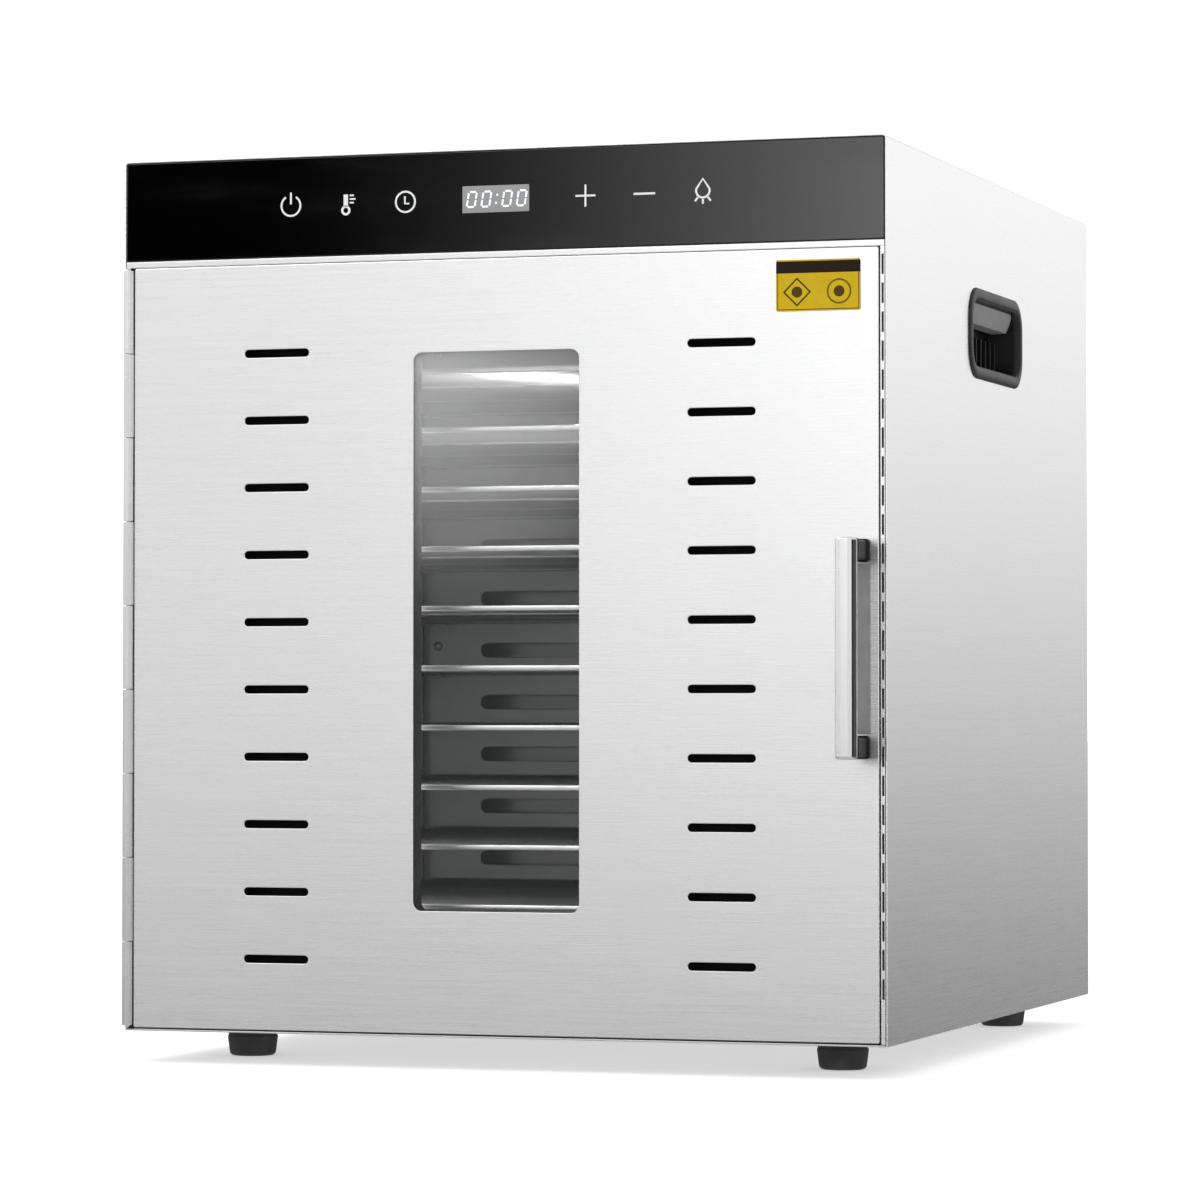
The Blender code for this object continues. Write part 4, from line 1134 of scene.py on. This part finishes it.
def make_trays():
    """Trays of welded wire mesh in a round rim. All ten share one mesh."""
    low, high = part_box(tray_name(1))
    width = high.x - low.x
    depth = high.y - low.y
    half = (high.z - low.z) / 2
    rim = 0.004
    inner_x = width / 2 - rim / 2
    inner_y = depth / 2 - rim / 2
    shape = bmesh.new()
    ring = Outline(0.0, 0.0, width, depth, 0.006)
    section = Outline(-rim / 2, 0.0, rim, 2 * half, 0.0007)
    loops = [[shape.verts.new((*point, z)) for point in ring.loop(grow, 6)]
             for grow, z in section.loop(0.0, 3)]
    for near, far in zip(loops, loops[1:] + loops[:1]):
        bridge(shape, near, far)
    for y in (-depth / 6, depth / 6):
        add_tube(shape, [Vector((-inner_x, y, -0.0002)), Vector((inner_x, y, -0.0002))], 0.0013, 10)
    level = 0.0006
    rows = int(2 * inner_y / WIRE_PITCH)
    for number in range(1, rows):
        y = -inner_y + number * (2 * inner_y / rows)
        add_tube(shape, [Vector((-inner_x, y, level)), Vector((inner_x, y, level))], WIRE_RADIUS, 6)
    level -= WIRE_RADIUS * 1.8
    columns = int(2 * inner_x / WIRE_PITCH)
    for number in range(1, columns):
        x = -inner_x + number * (2 * inner_x / columns)
        add_tube(shape, [Vector((x, -inner_y, level)), Vector((x, inner_y, level))], WIRE_RADIUS, 6)
    first = finished("tray_wire_01", shape, "tray_steel", tray_name(1), (tray_name(1),), 65.0, False)
    first.matrix_world = Matrix.Translation((0, (low.y + high.y) / 2, (low.z + high.z) / 2))
    for number in range(2, TRAY_COUNT + 1):
        name = tray_name(number)
        low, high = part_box(name)
        tray = bpy.data.objects.new("tray_wire_%02d" % number, first.data)
        tray.location = (0, (low.y + high.y) / 2, (low.z + high.z) / 2)
        bpy.context.collection.objects.link(tray)
        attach(tray, name)
        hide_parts(name)


# Door

def slot_outlines(grow_u=0.0, grow_v=0.0):
    return [Outline(column * SLOT_COLUMN_X, TOP_Z - FIRST_SLOT_DROP - row * SLOT_PITCH,
                    SLOT_LENGTH + grow_u, SLOT_HEIGHT + grow_v, (SLOT_HEIGHT + grow_v) / 2 - 0.00005)
            for column in (-1, 1) for row in range(SLOT_ROWS)]


def window_outline(grow=0.0, radius=WINDOW_RADIUS):
    return Outline(0.0, WINDOW_Z, WINDOW_WIDTH + grow, WINDOW_HEIGHT + grow, radius)


def make_door_skins():
    """Outer pan with rolled rim, window and air slots, and the inner sheet that closes it."""
    openings = slot_outlines() + [window_outline()]
    for end in HANDLE_ENDS:
        post = node_outline("handle_post_" + end, 0.0)
        openings.append(round_hole(post.u, post.v, 0.0024))
    pan = spanning(DOOR_LOW.x - 0.0003, DOOR_HIGH.x, DOOR_LOW.z, DOOR_HIGH.z, 0.0010)
    shape = bmesh.new()
    add_sheet(shape, "Y", DOOR_LOW.y, 0.0008, pan, openings, 0.00035, 0.0006, DOOR_HIGH.y - DOOR_LOW.y)
    finished("door_pan", shape, "brushed_panel", "door", ("door_outer_skin",))
    openings = slot_outlines(0.006, 0.0035) + [window_outline(0.008, 0.006)]
    pressed("door_liner_sheet", "door_inner_skin", "inner_sheet", 0.0015, openings, rear=True)


def make_door_shade_felt():
    """Black felt between the two skins, cut out round the window: a dark sheet that is painted shade seen
    through the air slots.
    """
    low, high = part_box("door_inner_skin")
    margin = 0.003
    # Painted shade: this dark sheet stands in for the shade inside the door cavity seen through the slots.
    mat = spanning(low.x + margin, high.x - margin, low.z + margin, high.z - margin, margin)
    sheet("door_shade_felt", "black_felt", (low.y - 0.0022, 0.0018), mat, [window_outline(0.019, 0.009)],
          0.0005, "door")


def make_window():
    """Pane, and the rubber surround that grips it."""
    pressed("window_pane", "window_glass", "clear_glass", 0.006, (), 0.0004)
    pressed("window_surround", "window_gasket", "seal_rubber", 0.008, [window_outline(0.002, 0.006)], 0.0012)


def make_door_seal():
    """Seal with a rounded bead all the way round."""
    low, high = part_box("door_seal")
    thick = high.y - low.y
    wide = 0.005
    outer = node_outline("door_seal", 0.004)
    section = [(0.0, 0.0), (0.0, 0.25), (-0.15, 0.62), (-0.32, 0.90), (-0.50, 1.0), (-0.68, 0.90),
               (-0.85, 0.62), (-1.0, 0.25), (-1.0, 0.0)]
    shape = bmesh.new()
    loops = [add_loop(shape, outer.loop(wide * grow, 6), "Y", low.y + thick * rise) for grow, rise in section]
    for near, far in zip(loops, loops[1:] + loops[:1]):
        bridge(shape, near, far)
    finished("door_seal_bead", shape, "seal_rubber", "door", ("door_seal",))


def make_handle():
    """Bar with soft edges and a black sheet on its side that is painted shade, its posts and their screws,
    and a grey sheet on the door between the posts that is painted reflection of the bar.
    """
    low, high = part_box("handle_bar")
    outline = node_outline("handle_bar", 0.0032, "Z")
    edge = 0.0016
    angles = [math.pi / 2 * i / 5 for i in range(6)]
    rounded = [(edge * (math.sin(a) - 1), edge * (1 - math.cos(a))) for a in angles]
    rows = [(grow, low.z + rise) for grow, rise in rounded]
    rows += [(grow, high.z - rise) for grow, rise in reversed(rounded)]
    shape = bmesh.new()
    add_rings(shape, [[lifted(point, "Z", z) for point in outline.loop(grow, 8)] for grow, z in rows])
    finished("handle_grip_bar", shape, "handle_steel", "door", ("handle_bar",))
    # Painted shade: a black sheet on the bar's side stands in for the shade on that face.
    side_shade = spanning(low.y + 0.0010, low.y + 0.0070, low.z + 0.0015, high.z - 0.0015, 0.0004)
    sheet("handle_side_shade", "black_moulding", (high.x + 0.0002, -0.0008), side_shade, (), 0.0001, "door",
          axis="X", steps=3)
    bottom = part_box("handle_post_lower")[1].z + 0.0006
    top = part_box("handle_post_upper")[0].z - 0.0006
    # Painted reflection: a grey sheet on the door between the posts stands in for the bar's dark reflection
    # in the steel.
    strip = spanning(outline.u - 0.0050, outline.u + 0.0050, bottom, top, 0.0004)
    sheet("handle_reflection_sheet", "soft_grey", (DOOR_LOW.y - 0.0004, 0.0003), strip, (), 0.0001, "door", steps=3)
    for end in HANDLE_ENDS:
        base = node_outline("handle_post_" + end, 0.0022)
        foot = DOOR_LOW.y - 0.0003
        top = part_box("handle_post_" + end)[0].y
        rows = [(foot, -0.0006), (foot - 0.0004, 0.0), (foot - 0.0022, 0.0), (foot - 0.0034, -0.0011),
                (top + 0.0034, -0.0011), (top + 0.0022, 0.0), (top + 0.0004, 0.0), (top, -0.0006)]
        shape = bmesh.new()
        add_rings(shape, [[lifted(point, "Y", y) for point in base.loop(grow, 6)] for y, grow in rows])
        finished("handle_stand_" + end, shape, "black_moulding", "door", ("handle_post_" + end,))
        node = "handle_screw_" + end
        head = node_outline(node, 0.0)
        place = (head.u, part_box(node)[1].y - 0.0025, head.v)
        screws("handle_fixing_" + end, [(place, 0.0042)], (0, 1, 0), "door", (node,))


def make_label():
    """Thin care label with rounded corners."""
    pressed("care_label_film", "care_label", "label_film", 0.0012, (), 0.0001)


CARRIED = {
    "inner_sheet": ("liner_left_wall", "liner_right_wall", "liner_floor", "liner_ceiling", "liner_back",
                    "catch_plate", "fan_shaft"),
    "hinge_steel": ("hinge_pin",),
    "black_moulding": ("control_housing",),
    "circuit_board": ("touch_board", "power_board"),
    "magnet_case": ("door_magnet",),
}


def refinish_carried_nodes():
    """Give the CAD nodes that still show their own finish."""
    for finish, nodes in CARRIED.items():
        for name in nodes:
            node = frame["nodes"][name]
            node.data.materials.clear()
            node.data.materials.append(FINISHES[finish].material)


# Studio

def staged(name, mesh, material):
    """A piece of the studio."""
    mesh.materials.append(material)
    piece = bpy.data.objects.new(name, mesh)
    bpy.context.collection.objects.link(piece)
    return piece


def make_floor():
    """Wide pale floor, a little lit from below, which the polished faces don't mirror."""
    reach = 24.0
    colour = (0.93, 0.93, 0.93)
    mesh = bpy.data.meshes.new("floor")
    mesh.from_pydata([(-reach, -reach, 0), (reach, -reach, 0), (reach, reach, 0), (-reach, reach, 0)],
                     [], [(0, 1, 2, 3)])
    paper = Finish("floor", colour, 0.9, 0.0, Emission_Color=WHITE, Emission_Strength=0.4)
    tooth = paper.grain(40.0, 3.0, 0.5)
    paper.tint(tooth, colour, tuple(part * 0.985 for part in colour))
    staged("floor", mesh, paper.material).visible_glossy = False


def make_backdrop():
    """White dome round the scene that only the camera sees."""
    shape = bmesh.new()
    bmesh.ops.create_uvsphere(shape, u_segments=48, v_segments=24, radius=25.0)
    mesh = bpy.data.meshes.new("backdrop")
    shape.to_mesh(mesh)
    shape.free()
    glow = Finish("backdrop", WHITE, 1.0, 0.0, Emission_Color=WHITE, Emission_Strength=1.0)
    dome = staged("backdrop", mesh, glow.material)
    dome.visible_diffuse = False
    dome.visible_glossy = False
    dome.visible_transmission = False
    dome.visible_shadow = False


def softbox(name, place, aim, size, power):
    """A large soft light that points at the object."""
    light = bpy.data.lights.new(name, "AREA")
    light.shape = "RECTANGLE"
    light.size, light.size_y = size
    light.energy = power
    lamp = bpy.data.objects.new(name, light)
    lamp.location = place
    lamp.rotation_euler = (Vector(aim) - Vector(place)).to_track_quat("-Z", "Y").to_euler()
    bpy.context.collection.objects.link(lamp)
    return lamp


def make_room_light():
    """White room, a little dimmer overhead: a dark band just below the horizon, soft behind the object
    and sharp in front of it, where a strip of black cloth and a lit panel stand side by side, and the
    pale table below it."""
    world = bpy.data.worlds.new("studio")
    bpy.context.scene.world = world
    room = Shading(world, "Background")
    x, y, z = room.parts(room.node("ShaderNodeTexCoord", output="Generated"))
    ahead = y.spread(-0.25, 0.25, 1.0, 0.0)
    front = z.spread(-0.085, -0.005, 0.0, 1.25)
    rear = z.spread(-0.14, 0.13, 0.05, 1.16)
    overhead = 1 - z.spread(0.16, 0.34) * 0.30
    table = z.spread(-0.30, -0.16, 0.55, 0.0)
    walls = (front * ahead + rear * (1 - ahead)) * overhead + table
    slope = x / (-y).larger(0.05)
    panel = ((slope + 0.41) / 0.15).larger(0.0).smaller(1.0) ** 2.2 * 3.2
    level = z.spread(0.040, 0.060) * z.spread(0.140, 0.165, 1.0, 0.0)
    band = level * slope.spread(-0.56, -0.50) * slope.spread(-0.20, -0.15, 1.0, 0.0) * (y < 0.0)
    room.set("Strength", walls * (1 - band) + panel * band)
    room.set("Color", WHITE)


def make_lights():
    """A soft key from the upper left, the chamber's lamp, and the glow that comes back off the door."""
    softbox("key", (-1.6, -2.6, 2.6), (0, 0, 0.25), (1.6, 1.6), 25)
    low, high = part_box("lamp_lens")
    x, y = (low.x + high.x) / 2, (low.y + high.y) / 2
    for name, place, aim, size, power in (
            ("chamber_lamp", (x, y, low.z - 0.002), (x, y, 0.0), (0.03, 0.03), 0.4),
            ("chamber_glow", (-0.125, -0.204, 0.22), (-0.125, 0.0, 0.22), (0.12, 0.34), 0.12)):
        softbox(name, place, aim, size, power).visible_camera = False


def make_camera():
    """Low and to the right, with a long lens."""
    data = bpy.data.cameras.new("camera")
    data.lens = 144.14
    data.sensor_width = 36.0
    camera = bpy.data.objects.new("camera", data)
    camera.location = (0.8639, -2.7004, 0.1985)
    camera.rotation_euler = (math.radians(91.268), 0.0, math.radians(18.04))
    bpy.context.collection.objects.link(camera)
    bpy.context.scene.camera = camera


make_camera()
make_floor()
make_backdrop()
make_room_light()
make_lights()
make_cabinet_sheets()
make_panel_rail()
make_sealing_frame()
make_rear()
make_power_inlet()
make_feet()
make_side_grip("side_grip_left", -1)
make_side_grip("side_grip_right", 1)
make_control_glass()
make_fan_baffle()
make_lamp()
make_heater()
make_motor()
make_fan()
make_trays()
make_door_skins()
make_door_shade_felt()
make_window()
make_door_seal()
make_handle()
make_label()
refinish_carried_nodes()
bpy.context.scene.view_settings.view_transform = "Standard"
